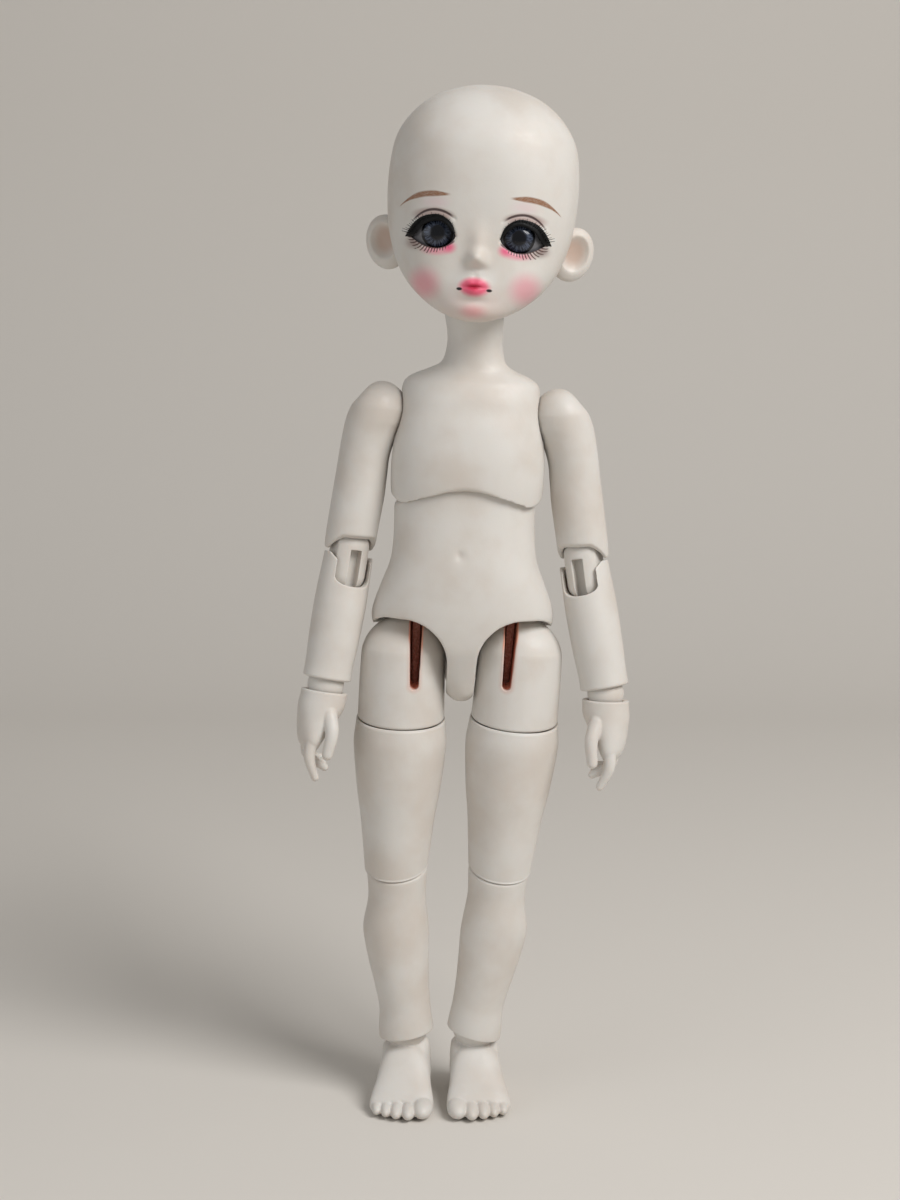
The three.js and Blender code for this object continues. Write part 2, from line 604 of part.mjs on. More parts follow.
function buildArm(chestFrame, name) {
  const side = name === "left" ? 1 : -1;
  const mirror = frameAt(chestFrame, `${name}_arm_side`, [0, 0, 0]);
  mirror.scale.x = side;
  const shoulder = frameAt(mirror, `${name}_shoulder`, [SHOULDER_SPREAD, 0, SHOULDER_RISE]);
  add(shoulder, `${name}_shoulder_elastic`, rod(CORD, [-0.6, 0, 0], [12 - SHOULDER_SPREAD, 0, 0]), ELASTIC);
  const arm = frameAt(shoulder, `${name}_upper_arm_frame`, [0, 0, 0], [0, -ARM_OUT[name], 0]);
  add(arm, `${name}_upper_arm`, upperArm(), RESIN);
  const cordTop = new THREE.Vector3(ARM_OFFSET, 0, -UPPER_ARM_LENGTH).multiplyScalar(0.08).toArray();
  const cordEnd = new THREE.Vector3(ARM_OFFSET, 0, -UPPER_ARM_LENGTH).multiplyScalar(0.975).toArray();
  const armCord = rod(CORD, cordTop, cordEnd);
  add(arm, `${name}_upper_arm_elastic`, armCord, ELASTIC);
  const bend = [-ELBOW_BEND, -FOREARM_OUT[name] / 2, 0];
  const elbow = frameAt(arm, `${name}_elbow`, [ARM_OFFSET, 0, -UPPER_ARM_LENGTH], bend);
  const upper = frameAt(elbow, `${name}_elbow_upper`, [0, 0, 0], [0, 0, -ELBOW_TURN]);
  add(upper, `${name}_elbow_link`, elbowLink(), RESIN);
  const below = frameAt(elbow, `${name}_elbow_below`, [0, 0, -ELBOW_LINK_LENGTH], bend);
  const lower = frameAt(below, `${name}_elbow_lower`, [0, 0, 0], [0, 0, -ELBOW_TURN]);
  add(lower, `${name}_forearm`, forearm(), RESIN);
  const cord = rod(CORD, [0, 0, -0.6], [0, 0, 1 - FOREARM_LENGTH]);
  add(lower, `${name}_forearm_elastic`, cord, ELASTIC);
  const wrist = frameAt(below, `${name}_wrist`, [0, 0, -FOREARM_LENGTH], [0, 0, -HAND_TURN]);
  add(wrist, `${name}_wrist_ball`, wristBall(), RESIN);
  const palm = frameAt(wrist, `${name}_hand_frame`, [0, 0, 0], [0, HAND_IN[name], 0]);
  add(palm, `${name}_hand`, hand(), RESIN);
  add(palm, `${name}_hand_hook`, hook(3, -9, -2.6, Y), STEEL);
}

function upperThigh() {
  const seam = [0, -SWIVEL_FORWARD, SWIVEL_BALL - SWIVEL_DROP - 3];
  const deep = HIP_BALL + THIGH_TOP_SWELL;
  const skinBody = solid(skin([
    [2, HIP_BALL - 0.2, HIP_BALL - 0.2, HIP_BALL - 0.2],
    [-7, HIP_BALL + 0.1, HIP_BALL + 0.2, HIP_BALL + 0.2],
    [-SWIVEL_DROP, mix(HIP_BALL, THIGH_HALF, 0.4), mix(HIP_BALL, deep, 0.8), mix(HIP_BALL, deep, 0.8)],
    [-SWIVEL_DROP - 7, mix(HIP_BALL, THIGH_HALF, 0.6), deep, deep],
  ], 18, 4));
  const below = cut(box([-FAR, -FAR, -FAR], [FAR, FAR, -6]), ball(SWIVEL_BALL, seam));
  const slot = box([-SLOT_INSET - SLOT_HALF, -FAR, -5.4], [SLOT_HALF - SLOT_INSET, 3.4, FAR]);
  const round = rod(SLOT_HALF, [-SLOT_INSET, -FAR, -5.4], [-SLOT_INSET, 3.4, -5.4], 10);
  const bore = rod(CORD + CORD_GAP, [-SLOT_INSET, 0, 0], [-SLOT_INSET, 0, -FAR]);
  return cut(join(ball(HIP_BALL), skinBody), below, slot, round, bore);
}

function thigh(bow) {
  const knee = KNEE_BALL + BALL_GAP + KNEE_WALL;
  const length = THIGH_LENGTH;
  const blend = (s) => mix(THIGH_HALF, knee, s);
  const skinBody = solid(skin([
    [6 - SWIVEL_DROP, THIGH_HALF - 1.2, 12, 12.2],
    [-SWIVEL_DROP - 1.5, THIGH_HALF - 0.5, 12.7, 12.9],
    [-0.42 * length, THIGH_HALF, 13.1, 13.3],
    [-0.54 * length, blend(0.14), 12.6, 12.8],
    [-0.66 * length, blend(0.34), 11.9, 11.8],
    [-0.78 * length, blend(0.63), 10.9, 10.6],
    [-0.9 * length, blend(0.84), knee + 1, knee + 0.4],
    [-length, knee, knee + 0.4, knee],
    [-length - 3.4, knee - 0.35, knee, knee - 0.3],
    [-length - 8, knee - 0.7, knee - 0.7, knee - 0.6],
  ], 16, 9));
  const seam = [0, -SWIVEL_FORWARD, SWIVEL_BALL - SWIVEL_DROP - 3];
  const under = slab([
    [-FAR, -KNEE_RIM_FRONT - 16],
    [-9, -KNEE_RIM_FRONT],
    [0.5, -KNEE_RIM_SIDE],
    [4, 4],
    [14, 15],
    [FAR, FAR],
    [FAR, -FAR],
    [-FAR, -FAR],
  ], [0, bow, 0], [0, 0, -length]);
  const bore = rod(CORD + CORD_GAP, [0, 0, 0], [0, 0, -length]);
  return cut(skinBody, socket(SWIVEL_BALL, seam), under, socket(KNEE_BALL, [0, 0, -length]), bore);
}

function shin() {
  const ankle = ANKLE_BALL + BALL_GAP + ANKLE_WALL;
  const knee = KNEE_BALL + BALL_GAP + KNEE_WALL;
  const length = SHIN_LENGTH;
  const skinBody = solid(skin([
    [2, knee - 0.4, knee, knee - 0.4],
    [-5, knee - 0.7, knee - 0.3, knee - 0.6],
    [-0.23 * length, knee - 1, knee - 0.8, knee - 0.3, 0.4 * CALF_OUT],
    [-0.37 * length, CALF_HALF - 0.1, 8.4, 9.4, CALF_OUT],
    [-0.46 * length, CALF_HALF, 8.3, 9.8, CALF_OUT],
    [-0.6 * length, mix(CALF_HALF, 7.2, 0.35), 8, 9, 0.8 * CALF_OUT],
    [-0.74 * length, mix(CALF_HALF, 7.2, 0.75), 7.6, 7.8, 0.4 * CALF_OUT],
    [-0.87 * length, 7.25, 7.3, 7.2],
    [-length, ankle, ankle, ankle],
    [-length - 4, ankle - 0.1, ankle - 0.1, ankle - 0.1],
  ], 14, 9));
  const over = slab([
    [-FAR, -KNEE_RIM_FRONT - 16 - SEAT_GAP],
    [-9, -KNEE_RIM_FRONT - SEAT_GAP],
    [0.2, -KNEE_RIM_SIDE - SEAT_GAP],
    [14, -KNEE_RIM_SIDE - SEAT_GAP - 17],
    [FAR, -FAR],
    [FAR, FAR],
    [-FAR, FAR],
  ]);
  const rim = box([-FAR, -FAR, -FAR], [FAR, FAR, -ANKLE_RIM], [0, ANKLE_RIM_SLANT, 0], [0, 0, -length]);
  const slot = box([-SLOT_HALF, -SLOT_HALF, -SLOT_HALF], [SLOT_HALF, FAR, FAR]);
  const body = join(ball(KNEE_BALL), cut(skinBody, over));
  const bore = rod(CORD + CORD_GAP, [0, 0, 0], [0, 0, -length]);
  const room = rod(3.4, [0, 0, 11 - length], [0, 0, -length], 10);
  return cut(body, rim, slot, bore, socket(ANKLE_BALL, [0, 0, -length]), room);
}

// The foot is laid out from heel to toe, so its skin is turned to run along -Y.
function foot() {
  const sole = ANKLE_HEIGHT;
  const shape = skin([
    [-10.6, 2.4, sole - 3.2, -12],
    [-9, 5.2, sole + 0.6, -8.6],
    [-5, 6.6, sole + 1.4, -5],
    [0, 7.1, sole + 1.6, -3.6],
    [5, 7.3, sole + 1.6, -4.4],
    [9, 7.9, sole + 1.6, -8.2],
    [12.5, 8.7, sole + 1.6, -11.6],
    [15, 8.9, sole + 1.4, -13.8],
    [16.4, 8, sole + 0.8, -15.6],
  ], 14, 8, 2.3);
  shape.applyMatrix4(new THREE.Matrix4().makeBasis(X, Z, Y.clone().negate()));
  const toes = [-6.2, -2.4, 0.9, 3.9, 6.6].map((x, i) => {
    const size = [2.75, 2.05, 1.95, 1.85, 1.75][i];
    const ahead = [16.8, 17.5, 16.9, 15.8, 14.4][i];
    return egg([size, 4.7, size * 1.1], [x, -ahead, size * 1.05 - sole], [0, 0, 0], 8, 5);
  });
  const under = box([-FAR, -FAR, -FAR], [FAR, FAR, -sole]);
  const bar = rod(WIRE + 0.4, [-3.6, 0, 0], [3.6, 0, 0]);
  const slot = box([-WIRE - 0.5, -4.4, -WIRE - 0.4], [WIRE + 0.5, 4.4, FAR]);
  return cut(join(solid(shape), ball(ANKLE_BALL), ...toes), under, bar, slot);
}

function buildLeg(pelvis, name) {
  const side = name === "left" ? 1 : -1;
  const mirror = frameAt(pelvis, `${name}_leg_side`, [0, 0, 0]);
  mirror.scale.x = side;
  const upper = frameAt(mirror, `${name}_hip`, [HIP_SPREAD, 0, 0], [0, LEG_SLANT[name], 0]);
  const hipCord = rod(CORD, [-SLOT_INSET, 0, 0.6], [-SLOT_INSET, 0, HIP_BALL + 4]);
  add(upper, `${name}_hip_elastic`, hipCord, ELASTIC);
  add(upper, `${name}_upper_thigh`, upperThigh(), RESIN);
  const seam = -SWIVEL_DROP - 3;
  const slotCord = rod(CORD, [-SLOT_INSET, 0, -2.2], [-SLOT_INSET, 0, seam + 1.2]);
  add(upper, `${name}_upper_thigh_elastic`, slotCord, ELASTIC);
  const swivel = frameAt(upper, `${name}_swivel`, [0, -SWIVEL_FORWARD, -SWIVEL_DROP]);
  const lower = frameAt(swivel, `${name}_thigh_lower`, [0, SWIVEL_FORWARD, SWIVEL_DROP]);
  add(lower, `${name}_thigh`, thigh(KNEE_BOW[name]), RESIN);
  add(lower, `${name}_thigh_elastic`, rod(CORD, [0, 0, seam - 0.6], [0, 0, 1 - THIGH_LENGTH]), ELASTIC);
  const knee = frameAt(lower, `${name}_knee`, [0, 0, -THIGH_LENGTH], [0, KNEE_BOW[name], 0]);
  add(knee, `${name}_shin`, shin(), RESIN);
  add(knee, `${name}_shin_elastic`, rod(CORD, [0, 0, -2.4], [0, 0, 12 - SHIN_LENGTH]), ELASTIC);
  const ankle = frameAt(knee, `${name}_ankle`, [0, 0, -SHIN_LENGTH]);
  const level = frameAt(ankle, `${name}_foot_frame`, [0, 0, 0], [0, 0, FOOT_OUT[name]]);
  add(level, `${name}_ankle_hook`, hook(3, 0, 7.4), STEEL);
  add(level, `${name}_foot`, foot(), RESIN);
  return { mirror, ankle, level };
}

const group = new THREE.Group();
group.name = "ball_jointed_doll";
const pelvis = frameAt(group, "pelvis", [0, 0, 0]);
add(pelvis, "lower_torso", lowerTorso(), RESIN);
const waist = frameAt(pelvis, "waist", [0, 0, WAIST_RISE]);
const waistCord = rod(WAIST_CORD, [0, 0, -8], [0, 0, SHOULDER_RISE - 8]);
add(waist, "waist_elastic", waistCord, ELASTIC);
const chestFrame = frameAt(waist, "chest_frame", [0, 0, 0], [0, CHEST_LEAN, 0]);
add(chestFrame, "chest", chest(), RESIN);
const neck = frameAt(chestFrame, "neck", [0, 0, NECK_RISE]);
add(neck, "neck_elastic", rod(CORD, [0, 0, -26], [0, 0, -NECK_BALL - 3.2]), ELASTIC);
const headJoint = frameAt(neck, "head_joint", [0, 0, 0], [0, HEAD_LEAN, HEAD_TURN]);
buildHead(frameAt(headJoint, "head", [0, 0, HEAD_RISE]));
buildArm(chestFrame, "left");
buildArm(chestFrame, "right");
const legs = [buildLeg(pelvis, "left"), buildLeg(pelvis, "right")];

// Tilt the pelvis until both ankles are level, set the feet flat, then stand the doll on the floor.
group.updateMatrixWorld(true);
const [leftAnkle, rightAnkle] = legs.map(({ ankle }) => ankle.getWorldPosition(new THREE.Vector3()));
pelvis.rotation.y = Math.atan2(leftAnkle.z - rightAnkle.z, leftAnkle.x - rightAnkle.x);
group.updateMatrixWorld(true);
for (const { ankle, level } of legs) {
  const upright = new THREE.Matrix4().extractRotation(ankle.matrixWorld);
  const down = Z.clone().applyMatrix4(upright);
  level.rotation.y = -Math.atan2(down.x, down.z) * Math.sign(ankle.matrixWorld.determinant());
}
group.updateMatrixWorld(true);
const bounds = new THREE.Box3().setFromObject(group, true);
const middle = bounds.getCenter(new THREE.Vector3());
group.position.set(-middle.x, -middle.y, -bounds.min.z);

export default group;
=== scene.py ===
import json
import math

import bpy
import numpy as np
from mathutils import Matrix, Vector


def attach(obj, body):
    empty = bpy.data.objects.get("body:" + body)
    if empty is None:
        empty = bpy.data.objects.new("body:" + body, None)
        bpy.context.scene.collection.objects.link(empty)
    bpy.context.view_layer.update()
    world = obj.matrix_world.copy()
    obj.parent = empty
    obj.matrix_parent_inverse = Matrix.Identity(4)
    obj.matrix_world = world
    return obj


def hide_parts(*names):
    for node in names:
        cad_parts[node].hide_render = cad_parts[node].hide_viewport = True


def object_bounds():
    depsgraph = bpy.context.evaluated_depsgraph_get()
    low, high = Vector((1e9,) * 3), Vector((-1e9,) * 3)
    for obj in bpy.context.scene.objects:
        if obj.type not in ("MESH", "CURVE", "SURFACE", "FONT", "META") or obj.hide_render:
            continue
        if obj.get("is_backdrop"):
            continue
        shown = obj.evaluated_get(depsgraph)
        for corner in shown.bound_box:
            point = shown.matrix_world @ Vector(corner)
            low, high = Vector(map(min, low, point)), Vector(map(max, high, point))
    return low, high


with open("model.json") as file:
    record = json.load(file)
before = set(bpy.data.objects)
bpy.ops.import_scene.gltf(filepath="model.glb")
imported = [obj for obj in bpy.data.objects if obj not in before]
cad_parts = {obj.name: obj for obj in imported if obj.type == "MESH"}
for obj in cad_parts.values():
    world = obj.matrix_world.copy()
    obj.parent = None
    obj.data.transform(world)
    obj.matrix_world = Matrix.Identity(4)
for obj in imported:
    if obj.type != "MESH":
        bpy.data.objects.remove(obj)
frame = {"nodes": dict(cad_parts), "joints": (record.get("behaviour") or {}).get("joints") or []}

# The looks of a ball-jointed doll of cast resin, built around its solids. Each piece is drawn in millimetres
# along its own axes (X away from the middle, Y to the back, Z up) and then placed.

MM = 0.001
FULL_TURN = 2 * math.pi
AROUND = 128
EDGE = 0.45
FAR = 80
JOIN, CUT, KEEP = "UNION", "DIFFERENCE", "INTERSECT"
scene = bpy.context.scene


def measured():
    """The shown object's lowest and highest corner as plain lists."""
    low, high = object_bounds()
    return [list(low), list(high)]


sizes = {"loaded": measured()}


def unit(v):
    return v / np.linalg.norm(v, axis=-1, keepdims=True)


class Place:
    """A piece's own axes in the doll. The third axis follows from the two that are given."""

    def __init__(self, origin, side=1, x=None, y=None, z=None):
        x = side * np.cross(y, z) if x is None else x
        y = side * np.cross(z, x) if y is None else y
        z = side * np.cross(x, y) if z is None else z
        self.origin, self.side, self.axes = origin, side, unit(np.array([x, y, z]))

    def world(self, points):
        return (self.origin + np.asarray(points) @ self.axes) * MM

    def local(self, points):
        return (np.asarray(points) / MM - self.origin) @ self.axes.T

    def turned_about_y(self, degrees):
        """The same place with its X and Z axes turned about Y."""
        c, s = math.cos(math.radians(degrees)), math.sin(math.radians(degrees))
        x, y, z = self.axes
        return Place(self.origin, self.side, x=c * x - s * z, y=y)


JOINT = {joint["name"]: joint for joint in frame["joints"]}


def centre(name):
    return np.array(JOINT[name]["pos_m"]) / MM


def axis(name):
    return unit(np.array(JOINT[name]["axis"]))


HEAD_RISE = 34
ARM_OFFSET = 2.4
HAND_IN = {"left": 12, "right": 2}
SIDES = {"left": 1, "right": -1}
BACKWARD = np.array([0.0, 1.0, 0.0])


def limb_places(name):
    """Where one side's pieces sit, read from the joints between them."""
    side = SIDES[name]
    at = lambda joint: centre(f"{name}_{joint}")
    along = lambda joint, sign=1: sign * side * axis(f"{name}_{joint}")
    hip = Place(at("hip_bend"), side, x=along("hip_bend", -1), z=along("hip_turn"))
    knee = Place(at("knee_bend"), side, x=along("knee_bend"), z=unit(at("knee_bend") - at("ankle_bend")))
    foot = Place(at("ankle_bend"), side, x=along("ankle_bend"), y=along("ankle_roll"))
    reach = at("elbow_upper") - at("shoulder_raise")
    straight = Place(at("shoulder_raise"), side, y=along("shoulder_raise", -1), z=-unit(reach))
    lean = math.degrees(math.asin(ARM_OFFSET / np.linalg.norm(reach)))
    fold = unit(at("elbow_upper") - at("elbow_lower"))
    link = Place(at("elbow_upper"), side, x=along("elbow_upper", -1), z=fold)
    forearm = Place(at("elbow_lower"), side, x=along("elbow_lower", -1), z=along("wrist_turn"))
    wrist = Place(at("wrist_turn"), side, y=along("wrist_bend"), z=along("wrist_turn"))
    return {
        "hip": hip, "knee": knee, "foot": foot, "arm": straight.turned_about_y(lean), "link": link,
        "forearm": forearm, "wrist": wrist, "hand": wrist.turned_about_y(HAND_IN[name]),
    }


PLACES = {name: limb_places(name) for name in SIDES}
hips_middle = (centre("left_hip_bend") + centre("right_hip_bend")) / 2
PELVIS = Place(hips_middle, y=BACKWARD, z=axis("waist_turn"))
CHEST = Place(centre("waist_bend"), x=axis("waist_bend"), y=BACKWARD)
neck_joint = Place(centre("head_nod"), x=axis("head_nod"), y=axis("head_tilt"))
HEAD = Place(neck_joint.origin + HEAD_RISE * neck_joint.axes[2], x=axis("head_nod"), y=axis("head_tilt"))


# Surfaces

def cubic(a, b, c, d, f):
    """A point between b and c on the cubic that passes each of them along the line between its neighbours."""
    return b + 0.5 * f * (c - a + f * (2 * a - 5 * b + 4 * c - d + f * (3 * (b - c) + d - a)))


def smooth_rows(stations, steps=24):
    """Rows of numbers joined by a Catmull-Rom spline, a row of such cubics."""
    rows = np.array([list(s) + [0.0] * (5 - len(s)) for s in stations], float)
    line = np.vstack([2 * rows[0] - rows[1], rows, 2 * rows[-1] - rows[-2]])
    t = np.linspace(0, len(rows) - 1, (len(rows) - 1) * steps + 1)
    i = np.minimum(t.astype(int), len(rows) - 2)
    f = (t - i)[:, None]
    return cubic(*(line[i + k] for k in range(4)), f)


class Skin:
    """A rounded body through stations of height, half width, front depth, back depth and sideways shift. Its
    plan is a superellipse: half width times cosine and depth times sine, each to the power 2/squareness."""

    def __init__(self, stations, squareness=2.0):
        rows = smooth_rows(stations)
        self.rows = rows[np.argsort(rows[:, 0])]
        self.power = 2 / squareness

    def __call__(self, angle, height):
        half, front, back, shift = (np.interp(height, self.rows[:, 0], self.rows[:, k]) for k in range(1, 5))
        swell = lambda v: np.sign(v) * np.abs(v) ** self.power
        x = shift + half * swell(np.cos(angle))
        y = (back - front) / 2 + (front + back) / 2 * swell(np.sin(angle))
        return np.stack(np.broadcast_arrays(x, y, height), -1)


def dome(radius, height=0.0, steps=9):
    """Stations of the upper half of a ball, from its top to its widest ring."""
    turn = np.linspace(0.04, 0.93, steps) * math.pi / 2
    return [[height + radius * math.cos(a)] + [radius * math.sin(a)] * 3 for a in turn]


def circle(around):
    """Even angles once around."""
    return np.linspace(0, FULL_TURN, around, endpoint=False)


ROUND = circle(AROUND)


def rim_heights(skin, cut, first, angle=ROUND):
    """The height at which a cut meets the skin at each angle, found by halving the difference."""
    height = np.full(angle.shape, float(first))
    for _ in range(40):
        height = (height + cut(skin(angle, height))) / 2
    return height


def bend(start, corner, end, steps=6):
    """Rings along the parabola that leaves one ring for a corner ring and ends on a third."""
    t = np.linspace(0, 1, steps)[:, None, None]
    return (1 - t) ** 2 * start + 2 * t * (1 - t) * corner + t * t * end


def ball_end(skin, last, height, middle, radius, pole, steps=18):
    """Rings from a skin's last ring over a rounded edge at its rim, along the cut face if there is one, round
    a second edge and then over a ball or socket to its pole."""
    skin_ring, rim = skin(ROUND, last), skin(ROUND, height)
    middle = np.array(middle, float)
    spokes = unit(rim - middle)
    seat = middle + radius * spokes
    face = seat - rim
    width = np.linalg.norm(face, axis=1, keepdims=True)
    turn = np.minimum(EDGE, 0.45 * width)
    inward = face / np.maximum(width, 1e-6)
    way = np.arccos(np.clip(spokes @ pole, -1, 1))[:, None]
    share = EDGE / (radius * way)
    turned = lambda s: (np.sin((1 - s) * way) * spokes + np.sin(s * way) * pole) / np.sin(way)
    on_ball = lambda s: middle + radius * turned(s)
    if width.max() < 0.05:
        over = bend(skin_ring, rim, on_ball(share))
    else:
        over = bend(skin_ring, rim, rim + turn * inward)
        over = np.concatenate([over, bend(seat - turn * inward, seat, on_ball(share))])
    rest = [on_ball(share + (1 - share) * s) for s in np.linspace(0, 1, steps)[1:]]
    return np.concatenate([over, np.array(rest)])


def skin_rings(skin, top, bottom, steps=60):
    """Rings of a skin between a top and a bottom height, which may change around it."""
    share = np.linspace(0, 1, steps)[:, None]
    height = np.broadcast_to(top, ROUND.shape) * (1 - share) + np.broadcast_to(bottom, ROUND.shape) * share
    return skin(np.broadcast_to(ROUND, height.shape), height)


def dome_rings(skin, radius, height=0.0, steps=24):
    """Rings of a skin over the half ball at its top."""
    turn = np.linspace(0.03, 0.97, steps) * math.pi / 2
    return np.array([skin(ROUND, np.full(ROUND.shape, height + radius * math.cos(a))) for a in turn])


def closed(rings):
    """Points and faces of a closed body: rings joined by four-sided faces, the end rings drawn to a point."""
    count, around = rings.shape[:2]
    points = np.vstack([rings.reshape(-1, 3), rings[0].mean(0), rings[-1].mean(0)])
    near = np.arange(around)
    far = (near + 1) % around
    starts = np.arange(count - 1)[:, None] * around
    corners = [starts + near, starts + around + near, starts + around + far, starts + far]
    quads = np.stack(corners, -1).reshape(-1, 4)
    top, bottom = count * around, count * around + 1
    last = (count - 1) * around
    fans = [f for a, b in zip(near, far) for f in ((top, a, b), (last + a, bottom, last + b))]
    return points, quads.tolist() + fans


def mesh_of(body):
    """A mesh from points and faces, still in millimetres."""
    points, faces = body
    mesh = bpy.data.meshes.new("shape")
    mesh.from_pydata(np.asarray(points).tolist(), [], faces)
    return mesh


def globe(radius, middle=(0, 0, 0), stretch=(1, 1, 1), around=64, rows=32):
    """A ball, or an egg when stretched: rings of radius times sine at heights of radius times cosine."""
    turn = np.linspace(0, math.pi, rows + 2)[1:-1, None]
    angle = circle(around)[None, :]
    flat = np.sin(turn) * np.ones_like(angle)
    rings = np.stack([flat * np.cos(angle), flat * np.sin(angle), np.cos(turn) * np.ones_like(angle)], -1)
    return rings * radius * np.array(stretch) + np.array(middle)


def rod(radius, start, end, around=48):
    """Points and faces of a straight round rod, given by its upper and lower end."""
    start, end = np.array(start, float), np.array(end, float)
    z = unit(start - end)
    x = unit(np.cross([0.3, 1.0, 0.2], z))
    y = np.cross(z, x)
    angle = circle(around)[:, None]
    ring = radius * (np.cos(angle) * x + np.sin(angle) * y)
    return closed(np.array([start + ring, end + ring]))


def tube(path, radii, around=20, tip=5):
    """A tapered round finger along a smooth path, with a half ball at each end."""
    path = smooth_rows([list(p) for p in path], 10)[:, :3]
    radii = np.interp(np.linspace(0, 1, len(path)), np.linspace(0, 1, len(radii)), radii)
    along = unit(np.gradient(path, axis=0))
    x = unit(np.cross(along, [0.1, 1.0, 0.05]))
    y = np.cross(along, x)
    angle = circle(around)[:, None]
    c, s = np.cos(angle), np.sin(angle)
    ring = lambda i, size, push: path[i] + push * along[i] + size * (c * x[i] + s * y[i])
    ends = np.linspace(0.1, 1, tip) * math.pi / 2
    first = [ring(0, radii[0] * math.sin(a), -radii[0] * math.cos(a)) for a in ends]
    last = [ring(-1, radii[-1] * math.sin(a), radii[-1] * math.cos(a)) for a in ends[::-1]]
    middle = [ring(i, radii[i], 0) for i in range(1, len(path) - 1)]
    return solid(np.array(first + middle + last))


def brick(low, high):
    """Points and faces of a box."""
    x, y, z = ((low[k], high[k]) for k in range(3))
    points = [(a, b, c) for a in x for b in y for c in z]
    faces = [(0, 1, 3, 2), (4, 6, 7, 5), (0, 4, 5, 1), (2, 3, 7, 6), (0, 2, 6, 4), (1, 5, 7, 3)]
    return np.array(points, float), faces


def about(k, degrees):
    """The rotation about one of the three axes."""
    i, j = (k + 1) % 3, (k + 2) % 3
    turn = np.eye(3)
    turn[i, i] = turn[j, j] = math.cos(math.radians(degrees))
    turn[j, i] = math.sin(math.radians(degrees))
    turn[i, j] = -turn[j, i]
    return turn


def after(mesh, *steps):
    """The mesh after a row of modifiers, each given as its kind and settings."""
    obj = bpy.data.objects.new("bench", mesh)
    scene.collection.objects.link(obj)
    for kind, settings in steps:
        modifier = obj.modifiers.new(kind, kind)
        for key, value in settings.items():
            setattr(modifier, key, value)
    made = bpy.data.meshes.new_from_object(obj.evaluated_get(bpy.context.evaluated_depsgraph_get()))
    bpy.data.objects.remove(obj)
    return made


def carved(mesh, *tools):
    """The mesh after each tool in turn, a body that it is joined with, cut by or kept inside."""
    for operation, body in tools:
        cutter = bpy.data.objects.new("cutter", mesh_of(body))
        scene.collection.objects.link(cutter)
        mesh = after(mesh, ("BOOLEAN", {"object": cutter, "operation": operation, "solver": "MANIFOLD"}))
        bpy.data.objects.remove(cutter)
    return mesh


def softened(mesh, grain, passes=6):
    """The mesh redrawn on an even grain with its edges eased, as a cast and sanded piece has them."""
    return after(
        mesh,
        ("REMESH", {"mode": "VOXEL", "voxel_size": grain, "use_smooth_shade": True}),
        ("SMOOTH", {"factor": 0.5, "iterations": passes}),
    )


def points_of(mesh):
    """A mesh's points as rows of three numbers."""
    flat = np.empty(3 * len(mesh.vertices), np.float32)
    mesh.vertices.foreach_get("co", flat)
    return flat.reshape(-1, 3).astype(float)


def piece(name, mesh, place, body, finish, nodes=(), crisp=None):
    """The finished piece: its points placed in the doll in metres, riding on a body in place of nodes."""
    mesh = mesh.copy()
    mesh.name = name
    mesh.vertices.foreach_set("co", place.world(points_of(mesh)).astype(np.float32).ravel())
    if place.side < 0:
        mesh.flip_normals()
    mesh.shade_smooth()
    if crisp:
        mesh.set_sharp_from_angle(angle=math.radians(crisp))
    mesh.materials.clear()
    mesh.materials.append(finish)
    mesh.update()
    obj = bpy.data.objects.new(name, mesh)
    scene.collection.objects.link(obj)
    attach(obj, body)
    if nodes:
        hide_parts(*nodes)


def cast(part, mesh, place, finish=None, crisp=None):
    """A casting in place of the one solid of its own body."""
    piece(f"{part}_cast", mesh, place, part, finish or RESIN.material, [part], crisp=crisp)


# Finishes

class Value:
    """A shader socket that takes part in sums: each step adds one node to its material."""

    def __init__(self, tree, socket):
        self.tree, self.socket = tree, socket

    def node(self, kind, inputs=(), output=0, **settings):
        """A new node of this material with its settings and inputs, each input a number or another socket."""
        node = self.tree.nodes.new(kind)
        for key, value in settings.items():
            setattr(node, key, value)
        for key, value in dict(inputs).items():
            if isinstance(value, Value):
                self.tree.links.new(value.socket, node.inputs[key])
            else:
                node.inputs[key].default_value = value
        return Value(self.tree, node.outputs[output])

    def math(self, operation, *others):
        return self.node("ShaderNodeMath", enumerate((self,) + others), operation=operation)

    def __add__(self, other): return self.math("ADD", other)
    def __mul__(self, other): return self.math("MULTIPLY", other)
    def __sub__(self, other): return self.math("SUBTRACT", other)
    def __truediv__(self, other): return self.math("DIVIDE", other)
    def __rsub__(self, other): return (self * -1) + other
    def __abs__(self): return self.math("ABSOLUTE")
    def most(self, other): return self.math("MAXIMUM", other)
    def root(self): return self.math("SQRT")

    def fade(self, start, end, low=1.0, high=0.0):
        """A smooth change from low at start to high at end, whichever of start and end is larger."""
        if start > end:
            start, end, low, high = end, start, high, low
        inputs = {"Value": self, "From Min": start, "From Max": end, "To Min": low, "To Max": high}
        return self.node("ShaderNodeMapRange", inputs, interpolation_type="SMOOTHSTEP")

    def between(self, low, high):
        """The mix of two colours by this share."""
        return self.node("ShaderNodeMix", {0: self, 6: low, 7: high}, output=2, data_type="RGBA")

    def towards(self, tone, share):
        """This colour mixed with a tone by a share."""
        return share.between(self, colour(*tone))


def colour(r, g, b):
    """A colour given in the 0 to 255 steps of a screen, as light."""
    steps = [c / 255 for c in (r, g, b)]
    return tuple(c / 12.92 if c <= 0.04045 else ((c + 0.055) / 1.055) ** 2.4 for c in steps) + (1.0,)


